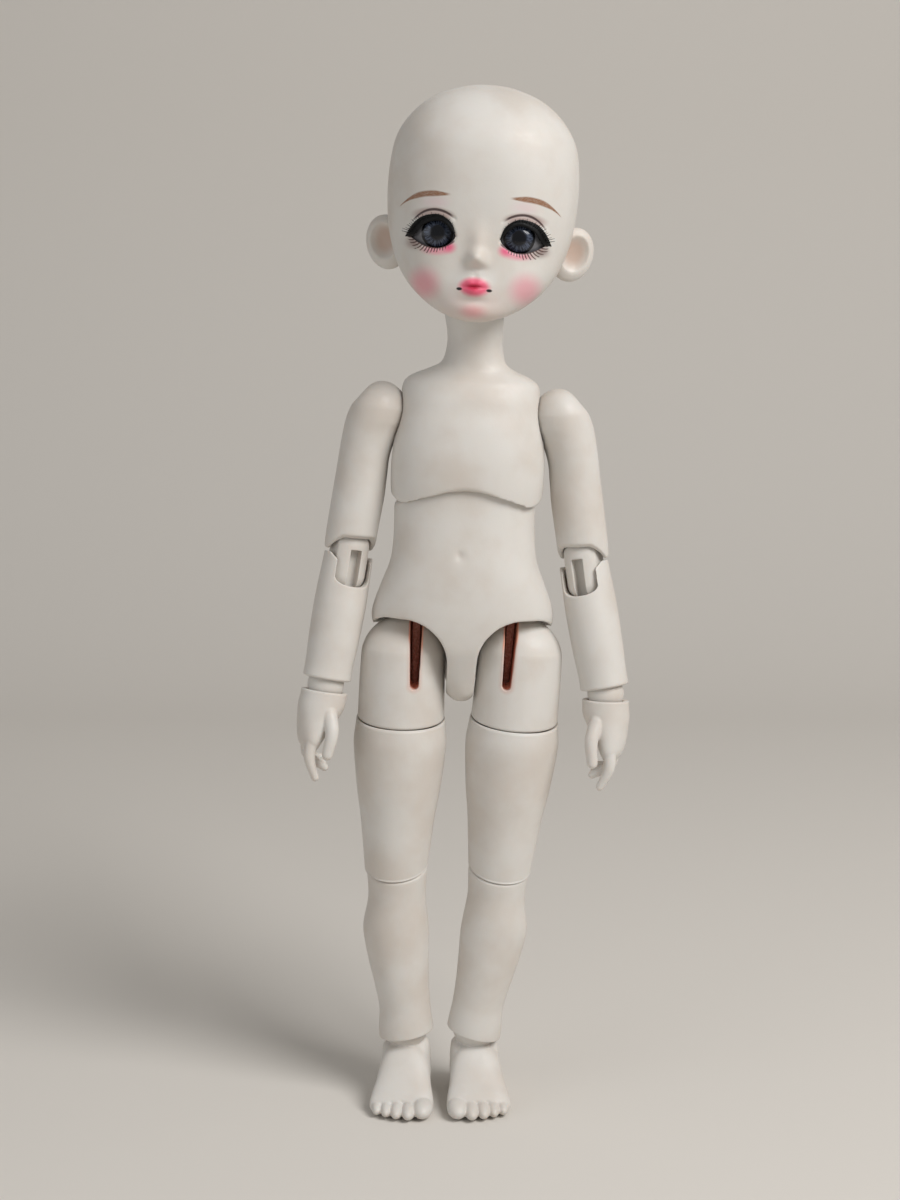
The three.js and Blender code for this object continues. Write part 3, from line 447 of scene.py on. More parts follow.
class Finish:
    """A material with one surface shader, whose constants are set here and whose paint is wired later."""

    def __init__(self, name, **constants):
        self.material = bpy.data.materials.new(name)
        self.material.use_nodes = True
        self.tree = self.material.node_tree
        self.surface = next(n for n in self.tree.nodes if n.type == "BSDF_PRINCIPLED")
        for key, value in constants.items():
            self.surface.inputs[key.replace("_", " ")].default_value = value
        self.start = Value(self.tree, None)
        self.point = self.start.node("ShaderNodeTexCoord", output=3)

    def along(self, place, k):
        """How far a point lies along one of a place's axes, in millimetres."""
        inputs = {0: self.point, 1: tuple(place.origin * MM)}
        away = self.start.node("ShaderNodeVectorMath", inputs, operation="SUBTRACT")
        inputs = {0: away, 1: tuple(place.axes[k] / MM)}
        return self.start.node("ShaderNodeVectorMath", inputs, output=1, operation="DOT_PRODUCT")

    def noise(self, scale, detail=3.0, at=None):
        inputs = {"Vector": at or self.point, "Scale": scale, "Detail": detail}
        return self.start.node("ShaderNodeTexNoise", inputs)

    def paint(self, name, value):
        self.tree.links.new(value.socket, self.surface.inputs[name])

    def bump(self, height, depth):
        """Small relief from a height, at a depth in metres."""
        inputs = {"Strength": 1.0, "Distance": depth, "Height": height}
        self.paint("Normal", self.start.node("ShaderNodeBump", inputs))


RESIN_PALE = colour(210, 206, 200)
RESIN_WARM = colour(201, 193, 184)


def resin(name):
    """Matte cast resin: a warm off-white with faint cloudy patches and a sanded grain."""
    finish = Finish(name, Roughness=0.5, Subsurface_Weight=0.12, Subsurface_Scale=0.003)
    finish.surface.inputs["Subsurface Radius"].default_value = (1.0, 0.6, 0.4)
    cloud = finish.noise(60.0, 4.0)
    shade = cloud.fade(0.7, 0.35).between(RESIN_PALE, RESIN_WARM)
    finish.paint("Roughness", finish.noise(900.0, 2.0).fade(0.3, 0.7, 0.44, 0.58))
    finish.bump(finish.noise(2600.0, 2.0), 0.00002)
    return finish, shade


RESIN, plain_shade = resin("cast_resin")
RESIN.paint("Base Color", plain_shade)


# Body

BALL_GAP = 0.3
HIP_BALL, KNEE_BALL, ANKLE_BALL = 11.5, 7.2, 6.3
WAIST_BALL, SHOULDER_BALL, ELBOW_BALL = 24.0, 8.5, 5.4
WRIST_BALL, NECK_BALL = 5.0, 8.1
HIP_SPREAD, HIP_TURN, WAIST_RISE = 16.2, 20, 28.0
SHOULDER_SPREAD, SHOULDER_RISE, NECK_RISE = 25.3, 39.0, 65.0
UP, DOWN = np.array([0, 0, 1.0]), np.array([0, 0, -1.0])


def over_ball(middle, radius, sign):
    """A cut whose height follows the upper or lower half of a ball."""
    def height(p):
        room = radius ** 2 - (p[..., 0] - middle[0]) ** 2 - (p[..., 1] - middle[1]) ** 2
        return middle[2] + sign * np.sqrt(np.maximum(room, 1.0))
    return height


def leg_room():
    """The hollow that a thigh swings in, about its hip: a ball's radius around the fan of directions the leg
    can point, from slightly backward to straight ahead."""
    radius = HIP_BALL + 0.7
    low, high = math.radians(-12), math.radians(90)
    ray = lambda a: np.array([-math.sin(a), -math.cos(a)])
    out = lambda a: np.array([math.cos(a), -math.sin(a)])
    path = [(FAR * ray(low), out(low))]
    path += [(np.zeros(2), out(a)) for a in np.linspace(low, high - math.pi, 24)]
    path += [(FAR * ray(high), -out(high))]
    across = np.linspace(0, math.pi, 24)
    rows = []
    for at, away in path:
        flat = at[None, :] + radius * np.sin(across)[:, None] * away[None, :]
        rows.append(np.column_stack([radius * np.cos(across), flat]))
    return closed(np.array(rows).transpose(1, 0, 2))


def outward(body):
    """The body with its faces turned outward, judged by the sign of its volume."""
    points, faces = body
    points = np.asarray(points)
    volume = 0.0
    for face in faces:
        corner = points[face[0]]
        for a, b in zip(face[1:-1], face[2:]):
            volume += np.dot(corner, np.cross(points[a], points[b]))
    return (points, faces) if volume > 0 else (points, [tuple(reversed(f)) for f in faces])


def solid(rings):
    """Points and faces of a closed body whose faces look outward."""
    return outward(closed(rings))


def prism(x, z, front, back):
    """Points and faces of an outline across and up, drawn from one depth to another."""
    wall = lambda y: np.column_stack([x, np.full(len(x), y), z])
    return solid(np.array([wall(front), wall(back)]))


NAVEL_AT, NAVEL_SIZE, NAVEL_DEPTH = (-1.0, -15, 30), (1.0, 6, 1.2), 0.7


def build_lower_torso():
    skin = Skin([
        [-11.6, 2.2, 4, 3.6], [-9.6, 4.3, 7, 7.4], [-5, 7, 9.4, 11.6], [0, 13, 11.8, 14.6], [4, 20, 13.4, 16],
        [8, 24, 14.2, 16.4], [11.5, 25, 14.7, 16.2], [15, 24.43, 15, 15.4], [21, 22.32, 15.2, 13.8],
        [27, 20.1, 15, 12.8], [33, 19.3, 14.4, 12.6], [40, 19.2, 13.9, 12.9], [47, 19.2, 13.7, 13.2],
        [54, 18.7, 13.6, 13.2],
    ], 2.2)
    waist = (0, 0, WAIST_RISE)
    top = rim_heights(skin, over_ball(waist, WAIST_BALL, 1), WAIST_RISE + 16)
    rings = np.concatenate([
        ball_end(skin, top - EDGE, top, waist, WAIST_BALL, UP, 30)[::-1],
        skin_rings(skin, top - EDGE, -11.6, 90),
    ])
    away = (rings - np.array(NAVEL_AT)) / np.array(NAVEL_SIZE)
    rings[..., 1] += NAVEL_DEPTH * np.exp(-(away ** 2).sum(-1))
    tools = []
    points, faces = leg_room()
    for name, side in SIDES.items():
        for turn in (0, HIP_TURN / 2, HIP_TURN):
            room = PELVIS.local(PLACES[name]["hip"].world(points @ about(2, turn).T))
            tools.append((CUT, outward((room, faces))))
        tools.append((CUT, closed(globe(HIP_BALL + 0.5, (side * HIP_SPREAD, 0, 0)))))
    mesh = softened(carved(mesh_of(closed(rings)), *tools), 0.36)
    cast("lower_torso", mesh, PELVIS)


CHEST_HALF, CHEST_EDGE, CORNER_WIDTH, CORNER_HEIGHT = 20.9, 15, 5.4, 3.2
ARCH_RISE, ARCH_FALL = 20.3, 0.03
ARMPIT_RADIUS, ARMPIT_DROP, ARMPIT_LEAN = 7.6, 24, math.radians(3)
NECK_BORE, NECK_BORE_DEPTH = 4.2, 14


def chest_rim(p):
    """The chest's lower edge: the waist ball's, with an arch in front and a quarter ellipse at each side."""
    s = np.clip((np.abs(p[..., 0]) - CHEST_HALF) / CORNER_WIDTH + 1, 0, 1)
    corner = np.where(s > 0, CHEST_EDGE + CORNER_HEIGHT * (1 - np.sqrt(1 - s * s)), 0)
    arch = np.where(p[..., 1] < 0, ARCH_RISE - ARCH_FALL * p[..., 0] ** 2, 0)
    return np.maximum(over_ball((0, 0, 0), WAIST_BALL + BALL_GAP, 1)(p), np.maximum(corner, arch))


def build_chest():
    skin = Skin(dome(NECK_BALL, NECK_RISE) + [
        [61, 7.5, 7.6, 7.6, 0.4], [57, 7.6, 7.7, 7.9, 0.5], [53, 8.7, 8.2, 8.7, 0.4], [51, 11.8, 8.7, 9.4],
        [49.6, 15.2, 9.6, 10.6], [47.6, 18, 11.2, 12], [44, 18.9, 12.8, 13.2], [40, 19.3, 13.8, 13.9],
        [35, 20, 15, 14.6], [28, CHEST_HALF, 15.8, 14.8], [21, CHEST_HALF, 15.7, 14.5], [14, 20.26, 14.9, 14],
        [8, 19.94, 14.3, 13.6],
    ], 2.2)
    socket = WAIST_BALL + BALL_GAP
    bottom = rim_heights(skin, chest_rim, 16)
    rings = np.concatenate([
        dome_rings(skin, NECK_BALL, NECK_RISE),
        skin_rings(skin, NECK_RISE, bottom + EDGE, 110),
        ball_end(skin, bottom + EDGE, bottom, (0, 0, 0), socket, UP, 24),
    ])
    tools = []
    for side in (-1, 1):
        shoulder = (side * SHOULDER_SPREAD, 0, SHOULDER_RISE)
        near = side * (SHOULDER_SPREAD + 0.7 * ARM_OFFSET)
        armpit = (near + side * ARMPIT_DROP * math.sin(ARMPIT_LEAN), 0, SHOULDER_RISE - ARMPIT_DROP)
        tools.append((CUT, closed(globe(SHOULDER_BALL + BALL_GAP, shoulder))))
        tools.append((CUT, rod(ARMPIT_RADIUS, (near, 0, SHOULDER_RISE), armpit)))
    bore = rod(NECK_BORE, (0, 0, NECK_RISE + 20), (0, 0, NECK_RISE - NECK_BORE_DEPTH))
    tools.append((CUT, bore))
    mesh = softened(carved(mesh_of(closed(rings)), *tools), 0.34)
    cast("chest", mesh, CHEST)


# Arms

ELBOW_LINK_LENGTH = 7.6
FOREARM_LENGTH = 30.8
UPPER_ARM_LENGTH = 37.8
ELBOW_TURN = math.radians(26)
ELBOW_RIM = 5.5
LINK_HALF, LINK_SLOT, GATE_HALF = 4.6, 1.6, 5.0
SLOPE_LEAN, SLOPE_DEPTH, SLOPE_WIDTH = 55, 2.5, 0.76
SLOT_HALF = 1.8


def sloped(p):
    """An upper arm's points, pressed toward the ball's middle in a bell-shaped dent of its outer shoulder."""
    way = unit(p)
    lean = math.radians(SLOPE_LEAN)
    off = np.arccos(np.clip(way[..., 0] * math.sin(lean) + way[..., 2] * math.cos(lean), -1, 1))
    return p - way * SLOPE_DEPTH * np.exp(-(off / SLOPE_WIDTH) ** 2)[..., None]


def upper_arm_mesh():
    skin = Skin(dome(SHOULDER_BALL) + [
        [-2.2, 8.15, 8.36, 8.36, 0.25], [-5.2, 7.5, 8.0, 8.0, 0.9], [-11.3, 6.9, 7.4, 7.5, 1.7],
        [-17, 6.95, 7.05, 7.15, 1.8], [-23.4, 7.1, 6.9, 7, 1.9], [-32.5, 7, 6.9, 6.9, 2.3],
        [-37.8, 6.9, 6.9, 6.9, 2.4], [-41.8, 6.4, 6.4, 6.4, 2.4],
    ])
    elbow = np.array([ARM_OFFSET, 0, -UPPER_ARM_LENGTH])

    def cut(p):
        across = (p[..., 0] - ARM_OFFSET) * math.sin(ELBOW_TURN) + p[..., 1] * math.cos(ELBOW_TURN)
        return -UPPER_ARM_LENGTH + np.interp(across, [-9, -5, 0, 9], [4.2, 3.6, -1.0, -1.0])

    bottom = rim_heights(skin, cut, -UPPER_ARM_LENGTH)
    rings = np.concatenate([
        sloped(np.concatenate([dome_rings(skin, SHOULDER_BALL), skin_rings(skin, 0.3, bottom + EDGE, 70)])),
        ball_end(skin, bottom + EDGE, bottom, elbow, ELBOW_BALL + BALL_GAP, UP),
    ])
    return softened(mesh_of(closed(rings)), 0.28, 6)


def elbow_link_mesh():
    upper = globe(ELBOW_BALL)[:16]
    lower = globe(ELBOW_BALL, (0, 0, -ELBOW_LINK_LENGTH))[16:]
    body = closed(np.concatenate([upper, lower]))
    flanks = brick((-LINK_HALF, -FAR, -FAR), (LINK_HALF, FAR, FAR))
    slot = brick((-LINK_SLOT, -FAR, -FAR), (LINK_SLOT, -2.4, -0.6))
    return softened(carved(mesh_of(body), (KEEP, flanks), (CUT, slot)), 0.18, 4)


def elbow_gate():
    """The opening in front of a forearm for the folding link: straight sides over a half superellipse."""
    turn = np.linspace(0, math.pi, 33)
    x = GATE_HALF * np.sign(np.cos(turn)) * np.abs(np.cos(turn)) ** 0.75
    z = -0.4 - 2.8 * np.sin(turn) ** 0.75
    return prism(np.append(x, [-GATE_HALF, GATE_HALF]), np.append(z, [FAR, FAR]), -FAR, 0.0)


def forearm_mesh():
    skin = Skin([
        [8, 6.6, 6.6, 6.6], [0, 6.9, 6.9, 6.9], [-4.9, 7.06, 7.22, 7.22], [-9.9, 7.1, 7.4, 7.4],
        [-18.5, 6.9, 7.1, 7.1], [-26.2, 6.6, 6.5, 6.5], [-32.8, 6.9, 6.8, 6.8],
    ])
    wrist = (0, 0, -FOREARM_LENGTH)
    cut = lambda p: ELBOW_RIM + np.interp(p[..., 1], [-9, -5, -4, -2, 9], [-2.6, -2.6, -1.4, 0, 0])
    top = rim_heights(skin, cut, ELBOW_RIM)
    bottom = np.full(ROUND.shape, 1.8 - FOREARM_LENGTH)
    socket = ELBOW_BALL + BALL_GAP
    rings = np.concatenate([
        ball_end(skin, top - EDGE, top, (0, 0, 0), socket, DOWN)[::-1],
        skin_rings(skin, top - EDGE, bottom + EDGE, 60),
        ball_end(skin, bottom + EDGE, bottom, wrist, WRIST_BALL + BALL_GAP, UP),
    ])
    sleeve = rod(socket, (0, 0, FAR), (0, 0, 0), 96)
    return softened(carved(mesh_of(closed(rings)), (CUT, sleeve), (CUT, elbow_gate())), 0.22, 4)


def hand_mesh():
    palm = Skin([
        [1, 6.4, 6.4, 6.4], [-3, 6.4, 6.4, 6.4, 0.1], [-6, 6.4, 6.5, 6.4, 0.4], [-9, 5.6, 6.6, 6.3, 1.0],
        [-12.5, 4.4, 6.6, 6.2, 1.8], [-16, 3.1, 6.3, 6.0, 2.2], [-18.5, 1.6, 4.6, 4.6, 2.0],
    ])
    body = mesh_of(closed(skin_rings(palm, 1, -18.5, 44)))
    pointer = tube([(2.4, -4.3, -14), (2.6, -4.4, -20), (0.2, -4.1, -25.4)], (1.8, 1.6, 1.1))
    thumb = tube([(-1, -5, -7.5), (-2, -7.2, -12.5), (-1.6, -7, -18.6)], (2.2, 1.5))
    tools = [(JOIN, pointer), (JOIN, thumb)]
    for y, reach in zip((-1.5, 1.3, 4.0), (22.6, 22.0, 20.6)):
        path = [(2.3, y, -14), (1.6, 1.04 * y, -20), (-2.6, y, -reach)]
        tools.append((JOIN, tube(path, (1.6, 1.1))))
    tools.append((CUT, brick((-FAR, -FAR, -1.8), (FAR, FAR, FAR))))
    tools.append((CUT, closed(globe(WRIST_BALL + BALL_GAP))))
    return softened(carved(body, *tools), 0.22, 4)


def build_arms():
    arm, link, forearm, hand = upper_arm_mesh(), elbow_link_mesh(), forearm_mesh(), hand_mesh()
    ball = mesh_of(closed(globe(WRIST_BALL)))
    for name in SIDES:
        at = PLACES[name]
        cast(f"{name}_upper_arm", arm, at["arm"])
        cast(f"{name}_elbow_link", link, at["link"])
        cast(f"{name}_forearm", forearm, at["forearm"])
        cast(f"{name}_wrist_ball", ball, at["wrist"])
        cast(f"{name}_hand", hand, at["hand"])


# Legs

SEAM_BALL = 25.5
SEAM_MIDDLE = (0, -2.5, 5.5)
THIGH_LENGTH, SHIN_LENGTH, ANKLE_HEIGHT = 57.0, 50.0, 20.0
ANKLE_SLANT = math.tan(math.radians(6))
SLOT_INSET, SLOT_FOOT, SLOT_DEPTH, CORD = 3.5, 6, 3.4, 1.2
HOOK_ROOM, HOOK_REACH = 3.8, 12


def hip_slot():
    """The slot that the hip's cord swings in: a half circle and straight sides that part upward."""
    turn = np.linspace(0, -math.pi, 17)
    x = np.concatenate([[SLOT_HALF], CORD * np.cos(turn), [-SLOT_HALF]]) - SLOT_INSET
    z = np.concatenate([[14], CORD * np.sin(turn) - SLOT_FOOT, [14]])
    return prism(x, z, -FAR, SLOT_DEPTH)


def slot_finish(name, hip):
    """Resin with a painted reddish glow inside the slot, standing for light through the resin in the slot's
    shade, and a faint pink edge.
    """
    finish, shade = resin(name)
    x, y, z = (finish.along(hip, k) for k in range(3))
    aside = abs(x + SLOT_INSET)
    below = (z * -1 - SLOT_FOOT).most(0.0)
    near = (aside * aside + below * below).root()
    shade = shade.towards((196, 156, 142), near.fade(1.2, 2.6) * y.fade(-6, -2) * 0.5)
    # Painted light: a reddish glow inside the slot, for light through the resin where the slot is in shade.
    inside = near.fade(1.85, 2.1) * y.fade(-8.8, -10.3) * y.fade(3.6, 4.0)
    finish.paint("Base Color", shade.towards((228, 164, 140), inside))
    return finish.material


def upper_thigh_mesh():
    skin = Skin(dome(HIP_BALL) + [
        [-7, 11.8, 11.85, 11.85], [-17, 12.0, 12.1, 12.1], [-24, 12.34, 12.4, 12.4],
    ])
    bottom = rim_heights(skin, over_ball(SEAM_MIDDLE, SEAM_BALL, -1), -17)
    rings = np.concatenate([
        dome_rings(skin, HIP_BALL),
        skin_rings(skin, 0.3, bottom + EDGE, 40),
        ball_end(skin, bottom + EDGE, bottom, SEAM_MIDDLE, SEAM_BALL, DOWN),
    ])
    return softened(carved(mesh_of(closed(rings)), (CUT, hip_slot())), 0.22, 4)


def thigh_mesh(hip, knee):
    skin = Skin([
        [-11, 11.7, 12, 12.2], [-18.5, 12.4, 12.7, 12.9], [-23.9, 12.9, 13.1, 13.3],
        [-30.8, 12.37, 12.6, 12.8], [-37.6, 11.6, 11.9, 11.8], [-44.5, 10.5, 10.9, 10.6],
        [-51.3, 9.7, 10.1, 9.5], [-57, 9.1, 9.5, 9.1], [-60.4, 8.75, 9.1, 8.8], [-65, 8.4, 8.4, 8.5],
    ])

    def cut(p):
        q = knee.local(hip.world(p))
        return p[..., 2] + np.interp(q[..., 1], [-12, -9, 0.5, 4, 14], [-7, -5.4, -2.6, 4, 15]) - q[..., 2]

    socket = SEAM_BALL + BALL_GAP
    top = rim_heights(skin, over_ball(SEAM_MIDDLE, socket, -1), -17)
    bottom = rim_heights(skin, cut, -THIGH_LENGTH)
    rings = np.concatenate([
        ball_end(skin, top - EDGE, top, SEAM_MIDDLE, socket, DOWN)[::-1],
        skin_rings(skin, top - EDGE, bottom + EDGE, 80),
        ball_end(skin, bottom + EDGE, bottom, (0, 0, -THIGH_LENGTH), KNEE_BALL + BALL_GAP, UP),
    ])
    return mesh_of(closed(rings))


def shin_mesh():
    skin = Skin([
        [2, 8.7, 9.1, 8.7], [-5, 8.4, 8.8, 8.5], [-11.5, 8.1, 8.3, 8.8, 0.48], [-18.5, 9.1, 8.4, 9.4, 1.2],
        [-23, 9.2, 8.3, 9.8, 1.2], [-30, 8.5, 8, 9, 0.96], [-37, 7.7, 7.6, 7.8, 0.48],
        [-43.5, 7.25, 7.3, 7.2], [-50, 7.7, 7.7, 7.7], [-54, 7.6, 7.6, 7.6],
    ])
    cut = lambda p: np.interp(p[..., 1], [-12, -9, 0.2, 14], [-7.4, -5.75, -2.95, -19.95])
    low = lambda p: -SHIN_LENGTH - 1.7 - ANKLE_SLANT * p[..., 0]
    top = rim_heights(skin, cut, -4)
    bottom = rim_heights(skin, low, -51.7)
    ankle = (0, 0, -SHIN_LENGTH)
    rings = np.concatenate([
        ball_end(skin, top - EDGE, top, (0, 0, 0), KNEE_BALL, UP)[::-1],
        skin_rings(skin, top - EDGE, bottom + EDGE, 80),
        ball_end(skin, bottom + EDGE, bottom, ankle, ANKLE_BALL + BALL_GAP, UP),
    ])
    slot = brick((-SLOT_HALF, -SLOT_HALF, -SLOT_HALF), (SLOT_HALF, FAR, FAR))
    hook_room = rod(HOOK_ROOM, (0, 0, HOOK_REACH - SHIN_LENGTH), ankle)
    return carved(mesh_of(closed(rings)), (CUT, slot), (CUT, hook_room))


def foot_mesh():
    skin = Skin([
        [-10.6, 2.4, 16.8, -12], [-9, 5.2, 20.6, -8.6], [-5, 6.6, 21.4, -5], [0, 7.1, 21.6, -3.6],
        [5, 7.3, 21.6, -4.4], [9, 7.9, 21.6, -8.2], [12.5, 8.7, 21.6, -11.6], [15, 8.9, 21.4, -13.8],
        [16.4, 8, 20.8, -15.6],
    ], 2.3)
    along = skin_rings(skin, 16.4, -10.6, 70)
    rings = np.stack([along[..., 0], -along[..., 2], along[..., 1]], -1)
    body = mesh_of(solid(rings))
    tools = [(JOIN, closed(globe(ANKLE_BALL)))]
    instep = Skin([[-3.9, 5.8, 2, 2], [-5, 6.6, 4, 4], [-7, 6.9, 6.2, 5.6], [-10, 7.1, 8, 7]])
    collar = skin_rings(instep, -3.9, -10, 20)
    collar[..., 2] -= ANKLE_SLANT * collar[..., 0]
    tools.append((JOIN, closed(collar)))
    toes = zip((-6.1, -2.3, 1.0, 3.9, 6.6), (2.9, 2.1, 2.0, 1.9, 1.8), (16.3, 17.1, 16.5, 15.4, 14.0))
    for x, size, ahead in toes:
        tall = 1.1 + 0.5 * size
        middle = (x, -ahead, 0.96 * tall - ANKLE_HEIGHT)
        tools.append((JOIN, closed(globe(1, middle, (size, 5.2, tall), 32, 20))))
    tools.append((CUT, brick((-FAR, -FAR, -FAR), (FAR, FAR, -ANKLE_HEIGHT))))
    return softened(carved(body, *tools), 0.25, 4)


def build_legs():
    upper, shin, foot = upper_thigh_mesh(), shin_mesh(), foot_mesh()
    bight = mesh_of(tube([(-SLOT_INSET, 0, z) for z in (0, -1, -2)], (CORD, CORD)))
    for name in SIDES:
        at = PLACES[name]
        thigh = thigh_mesh(at["hip"], at["knee"])
        slotted = slot_finish(f"{name}_slotted_resin", at["hip"])
        cast(f"{name}_upper_thigh", upper, at["hip"], slotted)
        piece(f"{name}_hip_bight", bight, at["hip"], f"{name}_upper_thigh", ELASTIC.material)
        cast(f"{name}_thigh", thigh, at["hip"])
        cast(f"{name}_shin", shin, at["knee"], crisp=40)
        cast(f"{name}_foot", foot, at["foot"])


# Head

EYE_SPREAD, EYE_BACK, EYE_DROP, EYE_RADIUS = 10.5, 15.4, 12.8, 7.5
LID_RADIUS, FACE_START, FACE_BLEND = 8.3, 5, 6
CAP_BACK, CAP_LEAN, CAP_SEAM = 8.0, 10.0, 0.17
MAGNET_AT, MAGNET_SEAT, MAGNET_ROOM = (17.5, 0.0, 6.0), 4.2, 2.35
EYE_WELL, NECK_HOLE = 1.5, 4.4
EAR_AT, EAR_LEAN, EAR_FLARE = (25.0, 3.0, -15.6), 14, 18
HEAD_STATIONS = [
    [-34.9, 2, 19.5, -16], [-34.2, 5.2, 22, -12], [-32.7, 9.2, 23.4, -6], [-30, 13.6, 24.2, 4],
    [-26, 18.0, 24.6, 13], [-20.5, 21.6, 24.7, 20], [-12.5, 24.3, 24.8, 26], [-3, 25.4, 25.8, 29],
    [6, 25.1, 26, 29.4], [13, 23.6, 24.6, 27.6], [19, 19.6, 20.6, 22.8], [23.4, 14, 14.6, 16.4],
    [26, 7, 7.4, 8.4], [26.8, 2, 2, 2.4],
]
HEAD_SQUARENESS = 2.35
HEAD_SKIN = Skin(HEAD_STATIONS, HEAD_SQUARENESS)

# Swellings and dents of the face: across, up, how wide, how tall and how far each one rises.
FACE = [
    (0, -18.6, 2.4, 2.1, 2.6), (0, -14.4, 2.4, 4.0, 1.1), (1.9, -19.6, 1.2, 1.0, 0.4),
    (-1.9, -19.6, 1.2, 1.0, 0.4), (0, -21.3, 2.4, 0.8, -0.4), (0, -26, 3.8, 2.8, 1.3),
    (1.2, -24.8, 1.1, 0.8, 0.4), (-1.2, -24.8, 1.1, 0.8, 0.4), (0, -27.2, 1.9, 1.0, 0.55),
    (0, -25.95, 2.6, 0.35, -0.5), (0, -23.2, 0.8, 0.9, -0.25), (0, -29.4, 3.4, 1.0, -0.4),
    (0, -32.0, 5.2, 2.4, 0.8), (13.2, -24, 6, 5, 0.8), (-13.2, -24, 6, 5, 0.8),
]
# Outlines about the middle of the iris: how far from the nose, how far up.
EYE_OPENING = [
    (-4.7, -0.8), (-3.5, 1.9), (-1.6, 3.5), (1.0, 3.9), (3.6, 3.0), (5.6, 1.2), (6.9, -1.2), (5.7, -2.2),
    (3.7, -3.2), (1.3, -3.8), (-1.2, -3.7), (-3.3, -2.6),
]
LASH_LOWER = [
    (-4.7, -0.8), (-3.7, 0.5), (-2.3, 1.95), (-0.6, 2.95), (1.7, 2.7), (3.9, 1.6), (5.1, 0.1), (6.4, -1.3),
    (8.5, -1.4),
]
LASH_UPPER = [
    (-4.8, -0.7), (-4.1, 1.6), (-2.9, 3.2), (-0.5, 4.5), (1.9, 4.5), (4.3, 3.8), (5.9, 2.6), (7.3, 0.9),
    (8.5, -1.3),
]


def loop(points, steps=16):
    """A closed Catmull-Rom curve through points."""
    p = np.array(points, float)
    f = np.linspace(0, 1, steps, endpoint=False)[None, :, None]
    return cubic(*(np.roll(p, shift, axis=0)[:, None] for shift in (1, 0, -1, -2)), f).reshape(-1, 2)


EYE_EDGE = loop(EYE_OPENING)


def lids_and_features(p):
    """The head's points with the face raised on them: bell-shaped swellings, lids that bulge over the eyes as
    a smooth maximum of face and ball, and a lid edge that rolls inward at the opening."""
    x, y, z = p[..., 0], p[..., 1], p[..., 2]
    t = np.clip((-y - FACE_START) / FACE_BLEND, 0, 1)
    front = t * t * (3 - 2 * t)
    rise = sum(h * np.exp(-((x - cx) / w) ** 2 - ((z - cz) / t) ** 2) for cx, cz, w, t, h in FACE)
    depth = -y + front * rise
    ex, ez = np.abs(x) - EYE_SPREAD, z + EYE_DROP
    away = ex ** 2 + ez ** 2
    bulge = np.sqrt(np.maximum(LID_RADIUS ** 2 - away, 0))
    lid = EYE_BACK + bulge - 3 * np.maximum(np.sqrt(away) - LID_RADIUS, 0)
    covered = (depth + lid) / 2 + np.sqrt((depth - lid) ** 2 + 0.5) / 2
    depth = depth + front * (covered - depth)
    near = (front > 0.5) & (away < 110)
    spot = np.stack([ex[near], ez[near]], -1)
    gap = np.sqrt(((spot[:, None] - EYE_EDGE[None]) ** 2).sum(-1)).min(1)
    t = spot[:, 0] - 0.9
    fold = spot[:, 1] - (5.7 - 0.07 * t ** 2 - 0.004 * np.maximum(t, 0) ** 3)
    depth[near] -= 0.3 * np.exp(-(gap / 0.35) ** 2) + 0.22 * np.exp(-(fold / 0.4) ** 2) * (np.abs(t) < 5.5)
    return np.stack([x, -depth, z], -1)


def face_depth(ex, ez, side):
    """The face's Y at a point given about one iris."""
    x, z = side * (EYE_SPREAD + np.asarray(ex)), np.asarray(ez) - EYE_DROP
    half, front, back = (np.interp(z, HEAD_SKIN.rows[:, 0], HEAD_SKIN.rows[:, k]) for k in (1, 2, 3))
    room = np.maximum(1 - (np.abs(x) / half) ** HEAD_SQUARENESS, 0)
    y = (back - front) / 2 - (front + back) / 2 * room ** (1 / HEAD_SQUARENESS)
    return lids_and_features(np.stack([x, y, z], -1))[..., 1]


def head_rings():
    """Rings of the whole head from crown to chin, closer together at the face than at the back."""
    s = np.linspace(-1, 1, 240, endpoint=False)
    angle = 1.5 * math.pi + math.pi * (0.34 * s + 0.66 * s ** 3)
    crown = 26.8 * np.cos(np.linspace(0, math.pi / 2, 46))
    height = np.concatenate([crown, np.linspace(0, -33.2, 146)[1:], np.linspace(-33.2, -34.9, 12)[1:]])
    return lids_and_features(HEAD_SKIN(*np.broadcast_arrays(angle[None, :], height[:, None])))


def ear_body(side):
    """A scooped egg that leans back and outward, with a rolled rim."""
    plate = mesh_of(closed(globe(1, (0, 0, 0), (5.9, 2.7, 7.4))))
    scoop = closed(globe(1, (0.2, -2.9, 0.5), (4.2, 2.2, 5.4)))
    mesh = softened(carved(plate, (CUT, scoop)), 0.3, 10)
    points = points_of(mesh) @ (about(1, EAR_LEAN) @ about(2, EAR_FLARE)).T + np.array(EAR_AT)
    faces = [tuple(f.vertices) for f in mesh.polygons]
    if side > 0:
        return points, faces
    return points * np.array([-1, 1, 1]), [f[::-1] for f in faces]


def behind(depth):
    """The half space behind the cap's seam."""
    points, faces = brick((-FAR, depth, -FAR), (FAR, FAR, FAR))
    return points @ about(0, CAP_LEAN).T, faces


